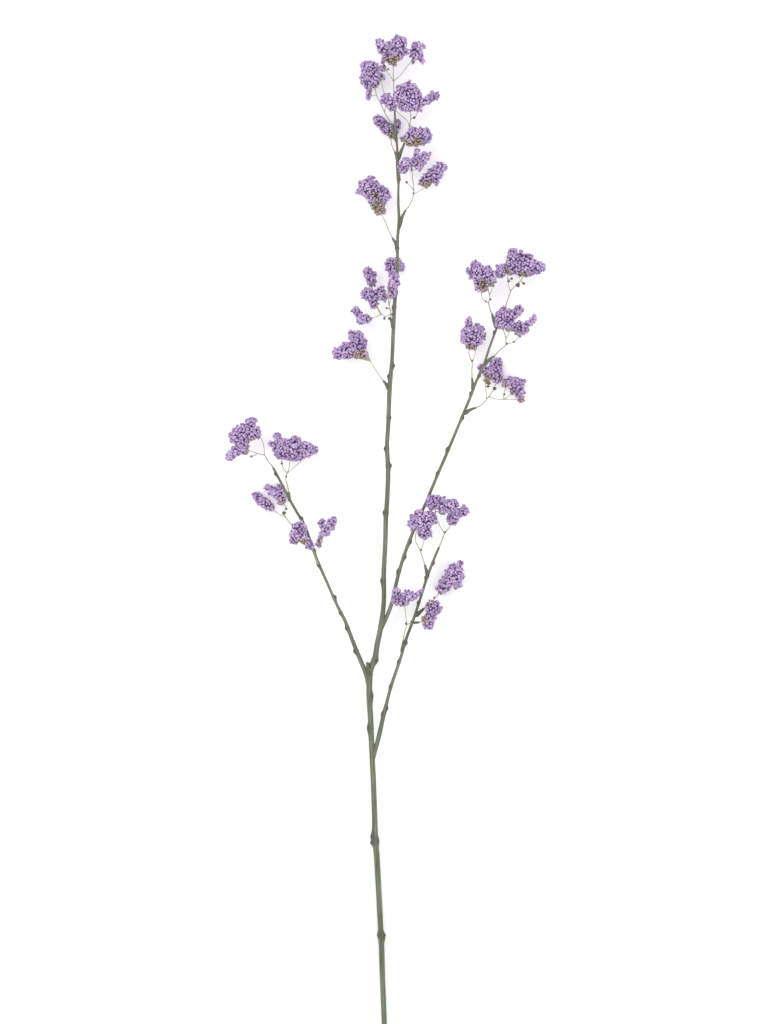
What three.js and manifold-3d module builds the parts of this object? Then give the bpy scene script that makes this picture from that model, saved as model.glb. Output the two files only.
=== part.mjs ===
// Dried yarrow sprig, one metre long, lying on a table.
// A green stem with three side branches, thin twigs on short pegs, and small heads of purple florets.
// Millimetres, +Z up, table at z = 0. The stem runs along +Y, and the origin is under its middle.
import Module from 'manifold-3d';
import * as THREE from 'three';
import { ConvexHull } from 'three/addons/math/ConvexHull.js';
import { mergeVertices } from 'three/addons/utils/BufferGeometryUtils.js';

// Driving sizes
const LENGTH = 1000;
const MIDDLE_X = 1;
const TABLE_DEPTH = 40;

// A twig starts this far past its peg, and stops this far short of its florets.
const PEG_GAP = 0.6;
const HEAD_GAP = 0.45;

// Stalks, pegs and twigs
const STALK_SIDES = 6;
const PEG_SIDES = 4;
const TWIG_SIDES = 4;
const TWIG_ROOT = 1.4;
const TWIG_TIP = 1.1;

// A scar is sunk this far into its stalk, and is no thicker than this share of the stalk's radius.
const SCAR_DEPTH = 1.5;
const SCAR_SHARE = 0.8;

// Florets, larger than life. Each covers a six-sided cell as wide as the spacing.
const FLORET_SPACING = 6.8;
const CELL_SHARE = Math.sqrt(3) / 2;
const FLORET_DEPTH = 2;
const FLORET_DEPTH_SHARE = 0.3;
const FEWEST_FLORETS = 6;
const FLORET_WOBBLE = 0.07;
const SPINDLE_POWER = 4;
const GOLDEN_ANGLE = Math.PI * (3 - Math.sqrt(5));
const SEED = 7483;

// Points nearer each other than this are one point.
const SAME_POINT = 1e-4;

// Layout
// Places are measured from the cut end of the stem: x to the right, y along the stem, z off the table.

// A stalk goes through points [x, y, z, diameter], from its root to its tip.
const STALKS = {
  main: [
    [0.5, 0, 2.2, 5.5], [-1, 36, 2.5, 5.5], [-3.5, 96, 4.8, 5.5], [-6.5, 156, 7.2, 5.4],
    [-9.2, 206, 9.2, 5.3], [-11, 256, 11.2, 5.2], [-14, 316, 13.8, 5.2], [-15.6, 352, 15.4, 5.4],
    [-14.4, 367, 16.2, 5.2], [-8.8, 380, 16.8, 4.6], [-4, 404, 17.6, 4.5], [-0.7, 436, 18.8, 4.4],
    [0.5, 496, 20.2, 4.3], [2.6, 536, 21, 4.1], [3.5, 566, 21.4, 4], [2.7, 594, 21.8, 3.9],
    [4.4, 626, 22, 3.8], [5.2, 660, 22, 3.6], [8.6, 700, 22.4, 3.5], [10.6, 738, 22.5, 3.2],
    [14, 776, 22.5, 3], [13.6, 800, 22.4, 2.8], [15, 818, 22.2, 2.8], [14, 846, 22, 2.7],
    [13.4, 876, 21.8, 2.5], [11.4, 898, 21.8, 2.1], [10, 929, 22, 1.7],
  ],
  left: [
    [-15.6, 348, 15.2, 4.2], [-18.2, 362, 16, 4.2], [-24, 377, 16.6, 4], [-39.5, 416, 18.3, 3.5],
    [-58.5, 456, 19.6, 2.9], [-67.5, 476, 20, 2.8], [-74, 496, 20.3, 2.6], [-81, 514, 20.5, 2.5],
    [-94.5, 536, 20.5, 2.4], [-104.5, 556, 20.5, 2.2], [-111, 569, 20.5, 2],
  ],
  right: [
    [-3, 408, 17.7, 3.6], [2, 419, 18.2, 3.6], [6.5, 432, 18.5, 3.5], [11, 451, 18.9, 3.3],
    [18, 476, 19.4, 3], [24.5, 496, 19.8, 2.9], [40, 529, 20.3, 2.7], [59, 576, 20.9, 2.5],
    [76, 616, 21.3, 2.4], [84.5, 636, 21.5, 2.2], [93, 658, 21.7, 2.2], [100, 673, 21.8, 2.1],
    [105, 688, 22, 2], [112.5, 709, 22, 1.9],
  ],
  low: [
    [-13, 271, 12, 4], [-9.8, 285, 12.6, 4], [-6.5, 297, 13.1, 3.9], [-2.5, 316, 14, 3.7],
    [3, 336, 15, 3.4], [8, 356, 15.8, 3], [15, 376, 16.3, 2.8], [20.5, 397, 16.8, 2.7],
    [29, 416, 17.2, 2.6], [35.5, 437, 17.5, 2.5], [42, 456, 18, 2.2], [49, 476, 18.5, 2],
    [54.5, 489, 18.5, 1.9],
  ],
};

// Short thick pegs, one under each side twig, through points [x, y, z, diameter].
const PEGS = [
  [[11.8, 894, 21.8, 2.1], [10, 903, 21.4, 2], [7.5, 912, 20.6, 1.7]],
  [[13.4, 876, 21.8, 2.2], [16.4, 884, 22, 2], [18.4, 890, 21.8, 1.7]],
  [[13.4, 874, 21.8, 2.2], [12, 880, 20.2, 2], [10.5, 884, 18, 1.7]],
  [[14.8, 810, 22.3, 2.5], [18, 820, 22.8, 2.2], [21, 826, 23.2, 1.8]],
  [[13.7, 786, 22.4, 2.5], [10.6, 794, 22, 2.2], [8, 798, 21.4, 1.8]],
  [[9.4, 706, 22.5, 2.5], [7.6, 713, 23, 2.2], [6, 718, 23.2, 1.9]],
  [[5, 643, 22, 2.5], [2.2, 650, 21.4, 2.2], [-0.6, 654, 20.6, 1.8]],
  [[99.6, 671, 21.8, 2.1], [105, 677, 23, 2], [109.5, 680, 24.5, 1.7]],
  [[88.4, 645, 21.6, 2.1], [88, 653, 21, 2], [87.5, 658, 20.2, 1.7]],
  [[79.5, 622, 21.4, 2.3], [86, 626.8, 20.2, 2.1], [91, 628.5, 18.6, 1.8]],
  [[112.4, 707, 22, 2.2], [109.8, 714, 22.6, 2.7], [107.5, 722, 23.4, 1.8]],
  [[-95, 535, 20.5, 2.1], [-95.4, 540, 21.2, 1.9], [-95.6, 544, 21.8, 1.7]],
  [[-78.5, 509, 20.5, 2.1], [-82.5, 509.3, 18.8, 1.9], [-85, 508.5, 17, 1.7]],
  [[44, 459, 18, 2.1], [42.6, 465, 19, 1.9], [41, 470, 20.4, 1.7]],
  [[31, 420, 17.3, 2.1], [36, 425, 16.6, 1.9], [39.5, 428, 15.6, 1.7]],
  [[28, 413.5, 17.1, 1.9], [32, 414, 18.6, 1.8], [34.5, 414.3, 20, 1.6]],
  [[17.2, 383.5, 16.5, 2.1], [18.2, 391, 18.7, 1.9], [18.8, 396, 20.8, 1.7]],
];

// Bud scars on each stalk, [y, side, length, rise]: side is -1 on the left and 1 on the right.
const SCARS = {
  main: [
    [101, 1, 11, 1.8], [200, -1, 15, 1.3], [194, -1, 5, 2], [309, -1, 13, 1.5], [341, 1, 15, 1.5],
    [369, -1, 9, 2.2], [377, 1, 10, 1.5], [524, -1, 6, 1.6], [571, 1, 6, 1.8], [588, -1, 6, 1.4],
    [660, -1, 5, 1.6], [671, 1, 6, 1.6], [811, 1, 7, 1.4],
  ],
  left: [[386, -1, 7, 1.6], [409, -1, 7, 1.4], [439, 1, 6, 1.9], [541, 1, 5, 1.4]],
  right: [[465, -1, 7, 1.3], [480, 1, 6, 1.4], [495, 1, 7, 1.3], [587, -1, 6, 1.6], [619, 1, 6, 1.4]],
  low: [[329, 1, 7, 1.4], [375, -1, 7, 1.3], [434, -1, 5, 1.5], [459, -1, 5, 1.5]],
};

// A spray has twigs through points [x, y, z], and heads made of lobes of florets.
// Its first twig grows from a peg or a stalk's tip, and the others fork from it.
// A lobe is [x, y, z, x, y, z, width] from its one end to its other, or [x, y, z, width] if round.
const SPRAYS = {
  main_1: {
    twigs: [
      [[10, 929, 22], [9.5, 941, 22.5], [9, 955, 23], [8.7, 965, 24], [9, 978, 26]],
      [[9, 955, 23], [16, 961, 22], [23, 970, 20.5], [29, 977, 20]],
      [[9, 955, 23], [5, 961, 22], [2, 965, 21], [0, 969, 20]],
    ],
    heads: [
      [
        [-7, 997, 22, 6, 973, 26, 12], [16, 1001, 32, 13, 972, 28, 15], [9, 990, 27, 10, 970, 26, 10],
      ],
      [[33, 995, 19, 31, 974, 20, 13], [33, 985, 20, 39, 973, 21, 9]],
    ],
  },
  main_2: {
    twigs: [
      [[7.5, 912, 20.6], [4, 917, 20], [0, 924, 19], [-4, 933, 18], [-8, 941, 17], [-10, 956, 16]],
      [[0, 924, 19], [1, 933, 18.5], [0, 941, 18], [-1, 946, 17.5], [-4, 956, 16.5]],
    ],
    heads: [
      [
        [-21, 975, 16, -18, 958, 16, 11], [-13, 977, 15, -10, 950, 16, 18],
        [-13, 956, 15, -17, 936, 13, 8], [-5, 959, 16, 9],
      ],
    ],
  },
  main_3: {
    twigs: [
      [[18.4, 890, 21.8], [21, 899, 20.4], [25, 909, 22], [26, 917, 24.5], [26, 928, 27]],
      [[19.4, 894, 20.8], [23, 894.5, 24], [27, 896, 28]],
      [[25, 909, 22], [23, 915, 24], [16, 921, 26], [12, 925, 27.2], [7, 930, 28]],
      [[26, 917, 24.5], [31, 920, 25], [34, 926, 27]],
    ],
    heads: [
      [[2, 943, 28, 8, 926, 28, 13]],
      [[26, 955, 31, 26, 924, 30, 25], [35, 932, 30, 56, 942, 29, 9]],
      [[19, 894, 31, 49, 902, 30, 18]],
    ],
  },
  main_4: {
    twigs: [[[10.5, 884, 18], [8, 889, 14], [6.5, 895, 10], [6, 903, 7]]],
    heads: [
      [[-10, 919, 5.8, 10, 899, 5.8, 13], [14, 916, 7, 9, 901, 6, 9]],
    ],
  },
  main_5: {
    twigs: [
      [[21, 826, 23.2], [25, 831, 23.5], [29, 842, 24], [28, 858, 25], [27, 865, 26], [22, 869, 28]],
      [[27, 865, 26], [31, 867, 27], [32, 873, 28]],
      [[28.8, 846, 24.2], [26, 850, 24], [22, 853, 23.5]],
      [[29, 842, 24], [36, 846, 21], [43, 851, 18], [47, 857, 16]],
    ],
    heads: [
      [
        [19, 879, 29, 18, 861, 28, 10], [19, 873, 29, 38, 872, 28, 10], [30, 887, 28, 35, 861, 28, 8],
        [33, 872, 28, 45, 883, 28, 8],
      ],
      [[35, 850, 17, 63, 872, 14, 14]],
    ],
  },
  main_6: {
    twigs: [[[8, 798, 21.4], [4, 806, 21], [2, 812, 20.5], [-1, 818, 20], [-6, 826, 19]]],
    heads: [
      [
        [-27, 852, 20, 8, 837, 20, 19], [-13, 841, 19, -4, 819, 18, 10], [0, 837, 19, 1, 822, 19, 8],
      ],
    ],
  },
  main_7: {
    twigs: [
      [[6, 718, 23.2], [6.4, 724, 25], [4, 734, 28], [5, 744, 30]],
      [[6.2, 722, 24.4], [1, 720, 24], [-3, 722, 24], [-9, 731, 25]],
      [[-3, 722, 24], [-6, 720.5, 21], [-10, 719, 18.5], [-17, 718, 16]],
      [[-3, 722, 24], [-7, 729, 18.5], [-10, 739, 15], [-13, 753, 14]],
      [[6.4, 724, 25], [5, 729, 21.5], [6, 738, 16], [8, 750, 12], [9, 764, 9]],
      [[6.1, 720, 23.8], [4.8, 715, 25.8], [5.2, 702, 26], [5.8, 692, 25.5]],
    ],
    heads: [
      [[9, 771, 8.2, 16], [12, 770, 8, 22, 770, 8, 10]],
      [[11, 762, 30, 6, 739, 30, 10]],
      [[-18, 769, 14, -12, 749, 14, 10]],
      [
        [-22, 744, 25, -2, 739, 25, 13], [-13, 741, 25, -8, 726, 25, 9], [-5, 752, 24, -1, 735, 24, 10],
      ],
      [
        [-32, 729, 16, -21, 716, 16, 9], [-25, 718, 16, -8, 720, 16, 11],
      ],
    ],
  },
  main_8: {
    twigs: [[[-0.6, 654, 20.6], [-4, 659, 20.3], [-8, 665, 20], [-14, 675, 19]]],
    heads: [
      [
        [-32, 705, 18, -24, 685, 18, 16], [-51, 683, 17, -26, 687, 18, 14], [-34, 683, 18, -16, 681, 19, 10],
        [-21, 682, 18, -12, 670, 19, 9],
      ],
    ],
  },
  right_1: {
    twigs: [
      [[107.5, 722, 23.4], [105, 728, 24], [104, 733, 25], [98, 737, 26], [96.5, 749, 27]],
      [[104, 733, 25], [105, 740, 26], [104, 745, 26.5], [102, 751, 27]],
      [[104.8, 741, 26.2], [107, 746, 26.6], [108, 753, 27]],
    ],
    heads: [
      [
        [89, 776, 28, 94, 761, 28, 12], [97, 764, 28, 19], [106, 768, 28, 109, 749, 27, 9],
        [97, 760, 27, 97, 742, 27, 11],
      ],
    ],
  },
  right_2: {
    twigs: [
      [[113.6, 711, 22], [117, 720, 22], [121, 730, 22], [124, 739, 21], [126, 745, 20.5],
        [130, 750, 20], [136, 756, 20], [142, 765, 20]],
      [[126, 745, 20.5], [124, 751, 20], [123.5, 760, 20], [125, 770, 20]],
      [[124, 739, 21], [121, 746, 20], [117, 754, 19.5], [115, 762, 19.5]],
    ],
    heads: [
      [
        [112, 758, 19, 125, 775, 20, 12], [121, 774, 20, 150, 774, 20, 25], [142, 768, 20, 161, 772, 20, 10],
      ],
    ],
  },
  right_3: {
    twigs: [
      [[109.5, 680, 24.5], [115, 686, 25.5], [121, 691.5, 26.5], [121, 698, 29], [119, 706, 31],
        [118, 712, 32.5]],
      [[121, 698, 29], [124, 702, 31], [124, 707, 33]],
      [[121, 691.5, 26.5], [125, 693, 26.5], [129, 694, 26.5], [133, 698, 27], [135, 704, 27]],
    ],
    heads: [
      [
        [122, 715, 34, 21], [126, 717, 33, 137, 731, 33, 10], [121, 721, 34, 119, 733, 34, 8],
      ],
      [
        [135, 715, 26, 137, 699, 26, 11], [137, 706, 26, 154, 720, 26, 7], [136, 707, 26, 126, 708, 25, 8],
      ],
    ],
  },
  right_4: {
    twigs: [
      [[87.5, 658, 20.2], [87.3, 666, 19.6], [87.5, 674, 19], [85, 680, 18], [84.5, 692, 16.5]],
      [[87.5, 674, 19], [90, 680, 18], [90.5, 692, 16.5]],
    ],
    heads: [
      [
        [88, 701, 16, 22], [85, 708, 16, 85, 721, 16, 8], [90, 711, 16, 101, 705, 16, 8],
        [79, 697, 16, 9], [88, 700, 16, 88, 685, 16, 10],
      ],
    ],
  },
  right_5: {
    twigs: [
      [[91, 628.5, 18.6], [96, 631, 17], [102, 637, 15], [106, 642, 12], [110, 649, 9], [113, 658, 7]],
      [[102, 637, 15], [101.5, 645, 12.5], [101, 652, 10], [101, 660, 8]],
      [[104, 639.6, 13.5], [111, 637.5, 12.5], [119, 637, 12], [127, 637, 11.5], [137, 637, 10]],
      [[119, 637, 12], [119.5, 643, 11], [121.5, 650, 10]],
      [[119, 637, 12], [124, 640, 11.5], [128, 645, 10]],
    ],
    heads: [
      [
        [115, 680, 6.2, 113, 653, 5.6, 14], [112, 670, 6, 99, 665, 7, 9], [104, 666, 7, 92, 669, 8, 8],
        [101, 667, 7, 102, 653, 7, 8],
      ],
      [
        [119, 652, 10, 133, 657, 10, 9], [126, 657, 10, 142, 654, 10, 9], [136, 658, 10, 137, 634, 10, 10],
        [127, 658, 10, 130, 639, 10, 9],
      ],
    ],
  },
  left_1: {
    twigs: [
      [[-111.3, 569.4, 20.5], [-116, 575, 21.5], [-120, 581, 22.5], [-127, 583, 23], [-138, 587, 24]],
      [[-120, 581, 22.5], [-121, 592, 24.5], [-124, 599, 25.5], [-131, 602, 26]],
      [[-127, 583, 23], [-131, 580.5, 22.6], [-135, 580, 22.4]],
    ],
    heads: [
      [
        [-133, 620, 27, -132, 605, 26, 12], [-128, 604, 26, -153, 599, 25, 14], [-148, 607, 26, 11],
        [-141, 601, 25, -140, 582, 24, 12], [-139, 593, 24, -157, 576, 23, 10],
      ],
    ],
  },
  left_2: {
    twigs: [
      [[-95.6, 544, 21.8], [-97, 551, 22], [-98.5, 558, 22], [-97.5, 563, 22], [-101, 568, 22],
        [-102.5, 574, 22], [-102, 582, 22]],
      [[-97.5, 563, 22], [-95.5, 568, 22], [-94.5, 575, 22], [-92, 583, 22]],
      [[-97.5, 563, 22], [-91, 568.5, 22], [-84, 575, 22], [-80, 581, 22]],
    ],
    heads: [
      [
        [-109, 604, 22, -103, 590, 22, 10], [-104, 593, 21, -116, 593, 20, 8],
        [-110, 587, 22, -82, 589, 22, 16], [-90, 591, 22, -88, 604, 22, 10], [-78, 587, 22, 16],
        [-75, 585, 22, -65, 583, 22, 8],
      ],
    ],
  },
  left_3: {
    twigs: [
      [[-85, 508.5, 17], [-91, 510, 14.5], [-95, 514, 12], [-99, 519, 10], [-105, 522, 8],
        [-115, 530, 5.5]],
      [[-99, 519, 10], [-100, 523, 9], [-98.5, 527, 8], [-102, 536, 7]],
    ],
    heads: [
      [
        [-119, 553, 7, -112, 541, 6.5, 8], [-107, 553, 6.2, -101, 530, 6, 11],
        [-114, 544, 6.2, -103, 542, 6, 9],
      ],
      [[-132, 544, 5, -110, 526, 5, 11]],
    ],
  },
  left_4: {
    twigs: [
      [[-66, 472, 22.9], [-69, 480, 23.3], [-72, 487, 24], [-76, 489, 25.5], [-83, 494, 28.5]],
      [[-72, 487, 24], [-70.5, 490.5, 23], [-67, 492, 21.6], [-64.5, 496, 20.5]],
    ],
    heads: [
      [
        [-83, 513, 29, -84, 497, 29, 14], [-91, 498, 28, 9], [-84, 502, 28, -74, 487, 27, 8],
      ],
      [
        [-63, 517, 20, -62, 503, 20, 8], [-47, 518, 20, -63, 500, 20, 10], [-61, 508, 20, -66, 489, 20, 8],
      ],
    ],
  },
  low_1: {
    twigs: [
      [[54.5, 489, 18.5], [57, 495, 20], [60, 503, 22], [64, 508, 24], [68, 515, 28]],
      [[60, 503, 22], [55, 511, 24.5], [51.5, 521, 27], [50, 531, 29]],
    ],
    heads: [
      [
        [43, 535, 30, 64, 532, 30, 13], [66, 531, 30, 16], [68, 528, 30, 68, 510, 29, 12],
        [70, 524, 30, 84, 527, 30, 10],
      ],
    ],
  },
  low_2: {
    twigs: [
      [[41, 470, 20.4], [39, 477, 22], [36, 486, 24.5], [31, 496, 28], [32, 508, 30]],
      [[36, 486, 24.5], [38.5, 491, 26.5], [40, 500, 29.5]],
    ],
    heads: [
      [
        [33, 516, 31, 17], [45, 517, 31, 14], [41, 520, 31, 40, 494, 30, 11],
        [43, 515, 31, 51, 500, 31, 8],
      ],
    ],
  },
  low_3: {
    twigs: [[[39.5, 428, 15.6], [45, 433, 14], [50, 438, 12], [57, 446, 9]]],
    heads: [
      [
        [70, 462, 8.3, 18], [72, 467, 9, 79, 479, 9, 8], [66, 459, 8.5, 55, 438, 8, 11],
        [71, 459, 8.5, 78, 447, 8.5, 8],
      ],
    ],
  },
  low_4: {
    twigs: [[[34.5, 414.3, 20], [38, 414.8, 21.8], [43, 416, 23.4]]],
    heads: [
      [
        [48, 429, 24, 17], [45, 425, 24, 44, 404, 23, 12],
      ],
    ],
  },
  low_5: {
    twigs: [
      [[18.8, 396, 20.8], [20, 404, 23], [22, 412, 25], [21.5, 419, 27], [20, 432, 29.5]],
      [[22, 412, 25], [25, 413, 25.6], [27.5, 414, 26]],
    ],
    heads: [
      [
        [11, 449, 30, 12, 430, 30, 10], [19, 437, 30, 14], [17, 440, 30, 35, 440, 30, 9],
        [29, 437, 30, 37, 449, 30, 8],
      ],
    ],
  },
};

// Materials
const GREEN_BARK = new THREE.MeshStandardMaterial({ color: 0x5f7a5c, roughness: 0.75, metalness: 0 });
const PALE_TWIG = new THREE.MeshStandardMaterial({ color: 0xb3b36a, roughness: 0.7, metalness: 0 });
const PURPLE_FLORET = new THREE.MeshStandardMaterial({ color: 0x8a6fb0, roughness: 0.85, metalness: 0 });

// Solids
const wasm = await Module();
wasm.setup();

// Makes a solid of a closed three.js geometry.
function solidOf(geometry) {
  geometry.deleteAttribute('normal');
  geometry.deleteAttribute('uv');
  const merged = mergeVertices(geometry, SAME_POINT);
  const vertProperties = new Float32Array(merged.attributes.position.array);
  const triVerts = new Uint32Array(merged.index.array);
  return new wasm.Manifold(new wasm.Mesh({ numProp: 3, vertProperties, triVerts }));
}

const joined = (solids) => solids.reduce((whole, solid) => whole.add(solid));

// Keeps the largest body of a solid, without the scraps that a cut leaves.
function largestBody(solid) {
  const bodies = solid.decompose();
  return bodies.reduce((best, body) => (body.volume() > best.volume() ? body : best));
}

function meshOf(name, solid, material) {
  const { vertProperties, triVerts } = solid.getMesh();
  const geometry = new THREE.BufferGeometry();
  geometry.setAttribute('position', new THREE.BufferAttribute(vertProperties, 3));
  geometry.setIndex(new THREE.BufferAttribute(triVerts, 1));
  geometry.computeVertexNormals();
  const mesh = new THREE.Mesh(geometry, material);
  mesh.name = name;
  return mesh;
}

// Everything below the table's top, which flattens what lies on it.
const UNDER_TABLE = solidOf(
  new THREE.BoxGeometry(2 * LENGTH, 4 * LENGTH, TABLE_DEPTH).translate(0, 0, -TABLE_DEPTH / 2));

// The direction that a path of points takes at each of them, and the level direction across it.
function directionsOf(places) {
  return places.map((place, i) => {
    const before = places[Math.max(i - 1, 0)];
    const after = places[Math.min(i + 1, places.length - 1)];
    const along = after.clone().sub(before).normalize();
    const across = new THREE.Vector3(along.y, -along.x, 0).normalize();
    return { along, across, up: across.clone().cross(along) };
  });
}

// A rod that tapers along a path: a lathed rod with one ring for each point [x, y, z, diameter],
// and each ring moved to its point and turned to face along the path.
function rod(points, sides) {
  const places = points.map(([x, y, z]) => new THREE.Vector3(x, y, z));
  const directions = directionsOf(places);
  const profile = points.map(([, , , diameter], ring) => new THREE.Vector2(diameter / 2, ring));
  profile.unshift(new THREE.Vector2(0, 0));
  profile.push(new THREE.Vector2(0, points.length - 1));
  const geometry = new THREE.LatheGeometry(profile, sides, Math.PI / sides);
  const { position } = geometry.attributes;
  for (let i = 0; i < position.count; i += 1) {
    const ring = Math.round(position.getY(i));
    const place = places[ring].clone()
      .addScaledVector(directions[ring].across, position.getX(i))
      .addScaledVector(directions[ring].up, position.getZ(i));
    position.setXYZ(i, ...place.toArray());
  }
  return solidOf(geometry);
}

// A bud scar: a long low ridge with a pointed crest, half sunk in one side of a stalk.
function scar(points, [y, side, length, rise]) {
  const after = points.findIndex((point) => point[1] > y);
  const [start, end] = [points[after - 1], points[after]];
  const share = (y - start[1]) / (end[1] - start[1]);
  const [x, , z, diameter] = start.map((value, i) => THREE.MathUtils.lerp(value, end[i], share));
  const lean = Math.atan2(start[0] - end[0], end[1] - start[1]);
  const geometry = new THREE.OctahedronGeometry(1);
  geometry.scale(rise + SCAR_DEPTH, length / 2, Math.min(SCAR_DEPTH, SCAR_SHARE * diameter / 2));
  geometry.translate(side * (diameter / 2 - SCAR_DEPTH), 0, 0);
  geometry.rotateZ(lean);
  geometry.translate(x, y, z);
  return solidOf(geometry);
}

// A lobe's centre, turn and half sizes, from its two ends or its one middle. A round one lies along y.
function lobeShape(lobe) {
  const width = lobe.at(-1);
  const places = lobe.slice(0, -1);
  const start = new THREE.Vector3(...places.slice(0, 3));
  const end = new THREE.Vector3(...places.slice(-3));
  const along = end.clone().sub(start);
  const length = along.length();
  const direction = length > 0 ? along.normalize() : new THREE.Vector3(0, 1, 0);
  return {
    centre: start.add(end).multiplyScalar(0.5),
    turn: new THREE.Quaternion().setFromUnitVectors(new THREE.Vector3(0, 0, 1), direction),
    halfWidth: width / 2,
    halfLength: Math.max(length, width) / 2,
  };
}

// Floret tips on a lobe: a golden-angle spiral over a blunt spindle, which keeps them evenly apart.
// The spindle's radius at share s of its half length is halfWidth times the root of 1 - s^SPINDLE_POWER.
function floretTips({ halfWidth, halfLength }) {
  const area = 4 * Math.PI * halfWidth * (2 * halfLength + halfWidth) / 3;
  const count = Math.max(FEWEST_FLORETS, Math.round(area / (CELL_SHARE * FLORET_SPACING ** 2)));
  const tips = [];
  for (let i = 0; i < count; i += 1) {
    const share = 1 - (2 * i + 1) / count;
    const swell = 1 + FLORET_WOBBLE * (THREE.MathUtils.seededRandom() - 0.5);
    const radius = halfWidth * Math.sqrt(1 - share ** SPINDLE_POWER) * swell;
    const angle = i * GOLDEN_ANGLE;
    tips.push(new THREE.Vector3(radius * Math.cos(angle), radius * Math.sin(angle), halfLength * share));
  }
  return tips;
}

// The florets of a lobe: the tips are joined by a hull, and each of its faces becomes a valley.
// A valley lies nearer the lobe's axis than its three tips do, by the florets' depth.
// Each edge between two tips gives two triangles, one from each tip down to the valleys on either side.
function floretGeometry(tips, { halfWidth, halfLength }, depth) {
  const axisEnd = halfLength - halfWidth;
  const valley = ({ midpoint, edge }) => {
    const foot = new THREE.Vector3(0, 0, THREE.MathUtils.clamp(midpoint.z, -axisEnd, axisEnd));
    const reaches = [edge, edge.next, edge.prev].map((side) => side.head().point.distanceTo(foot));
    const reach = (reaches[0] + reaches[1] + reaches[2]) / 3;
    return midpoint.clone().sub(foot).setLength(reach - depth).add(foot);
  };
  const corners = [];
  for (const face of new ConvexHull().setFromPoints(tips).faces) {
    let edge = face.edge;
    do {
      corners.push(edge.tail().point, valley(edge.twin.face), valley(face));
      edge = edge.next;
    } while (edge !== face.edge);
  }
  return new THREE.BufferGeometry().setFromPoints(corners);
}

// A lobe's florets, and the same body without valleys, grown by a gap, which twigs stay out of.
function growLobe(lobe) {
  const shape = lobeShape(lobe);
  const tips = floretTips(shape);
  const depth = Math.min(FLORET_DEPTH, FLORET_DEPTH_SHARE * shape.halfWidth);
  const placed = (geometry) => solidOf(
    geometry.applyQuaternion(shape.turn).translate(...shape.centre.toArray()));
  const grown = tips.map((tip) => tip.clone().setLength(tip.length() + HEAD_GAP));
  return {
    florets: placed(floretGeometry(tips, shape, depth)),
    clearance: placed(floretGeometry(grown, shape, 0)),
  };
}

// Pieces
function makeStem() {
  const rods = Object.values(STALKS).map((points) => rod(points, STALK_SIDES));
  const pegs = PEGS.map((points) => rod(points, PEG_SIDES));
  const scars = Object.entries(SCARS).flatMap(([name, list]) => (
    list.map((place) => scar(STALKS[name], place))));
  return joined([...rods, ...pegs, ...scars]).subtract(UNDER_TABLE);
}

// A spray's twigs, which start just past the peg and stop just short of the florets.
function makeTwigs(spray, lobes) {
  const rods = spray.twigs.map((points, i) => {
    const path = points.map((point, j) => (
      [...point, THREE.MathUtils.lerp(i ? TWIG_TIP : TWIG_ROOT, TWIG_TIP, j / (points.length - 1))]));
    if (i === 0) {
      const root = new THREE.Vector3(...points[0]);
      const step = new THREE.Vector3(...points[1]).sub(root).setLength(PEG_GAP);
      path[0] = [...root.add(step).toArray(), TWIG_ROOT];
    }
    return rod(path, TWIG_SIDES);
  });
  return largestBody(joined(rods).subtract(joined(lobes.map((lobe) => lobe.clearance))));
}

function makeHead(lobes) {
  return largestBody(joined(lobes.map((lobe) => lobe.florets)).subtract(UNDER_TABLE));
}

// Assembly
const HEAD_LETTERS = 'abcde';
const sprig = new THREE.Group();
sprig.add(meshOf('stem', makeStem(), GREEN_BARK));
THREE.MathUtils.seededRandom(SEED);
for (const [name, spray] of Object.entries(SPRAYS)) {
  const heads = spray.heads.map((lobes) => lobes.map(growLobe));
  sprig.add(meshOf(`twigs_${name}`, makeTwigs(spray, heads.flat()), PALE_TWIG));
  for (const [i, lobes] of heads.entries()) {
    sprig.add(meshOf(`head_${name}${HEAD_LETTERS[i]}`, makeHead(lobes), PURPLE_FLORET));
  }
}
sprig.position.set(-MIDDLE_X, -LENGTH / 2, 0);

export default sprig;
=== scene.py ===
"""A dried sprig of small purple florets on a branching green stem, lying on a pale table, seen from above.

The layout below is in millimetres, from the cut end of the stem: x to the right, y along the stem and
z off the table. The meshes are in metres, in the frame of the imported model.
"""

import bpy
import numpy as np
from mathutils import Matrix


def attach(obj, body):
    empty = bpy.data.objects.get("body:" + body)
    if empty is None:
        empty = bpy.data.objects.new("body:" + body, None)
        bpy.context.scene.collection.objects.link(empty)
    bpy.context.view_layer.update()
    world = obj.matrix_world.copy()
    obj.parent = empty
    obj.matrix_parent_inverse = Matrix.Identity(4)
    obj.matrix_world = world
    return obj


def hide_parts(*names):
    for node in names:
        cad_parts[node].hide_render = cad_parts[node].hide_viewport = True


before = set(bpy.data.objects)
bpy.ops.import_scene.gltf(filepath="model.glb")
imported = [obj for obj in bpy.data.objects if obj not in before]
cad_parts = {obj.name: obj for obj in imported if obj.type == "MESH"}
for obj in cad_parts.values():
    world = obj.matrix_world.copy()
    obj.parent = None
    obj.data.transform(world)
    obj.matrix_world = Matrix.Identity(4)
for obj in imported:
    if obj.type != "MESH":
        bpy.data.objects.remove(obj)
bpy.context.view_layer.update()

# Layout
# The frame's origin is under the middle of the sprig, this far from the cut end.
MM = 0.001
ORIGIN = np.array([1.0, 500.0, 0.0])
SPRIG_LENGTH = 1000
SEED = 7483
TINY = 1e-9
UPWARD = (0, 0, 1)
ASIDE = (0.1, 0.2, 1.0)  # a direction that no bud or lobe runs in
RELIEF = 0.7  # how strongly a material's relief shades it

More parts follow.
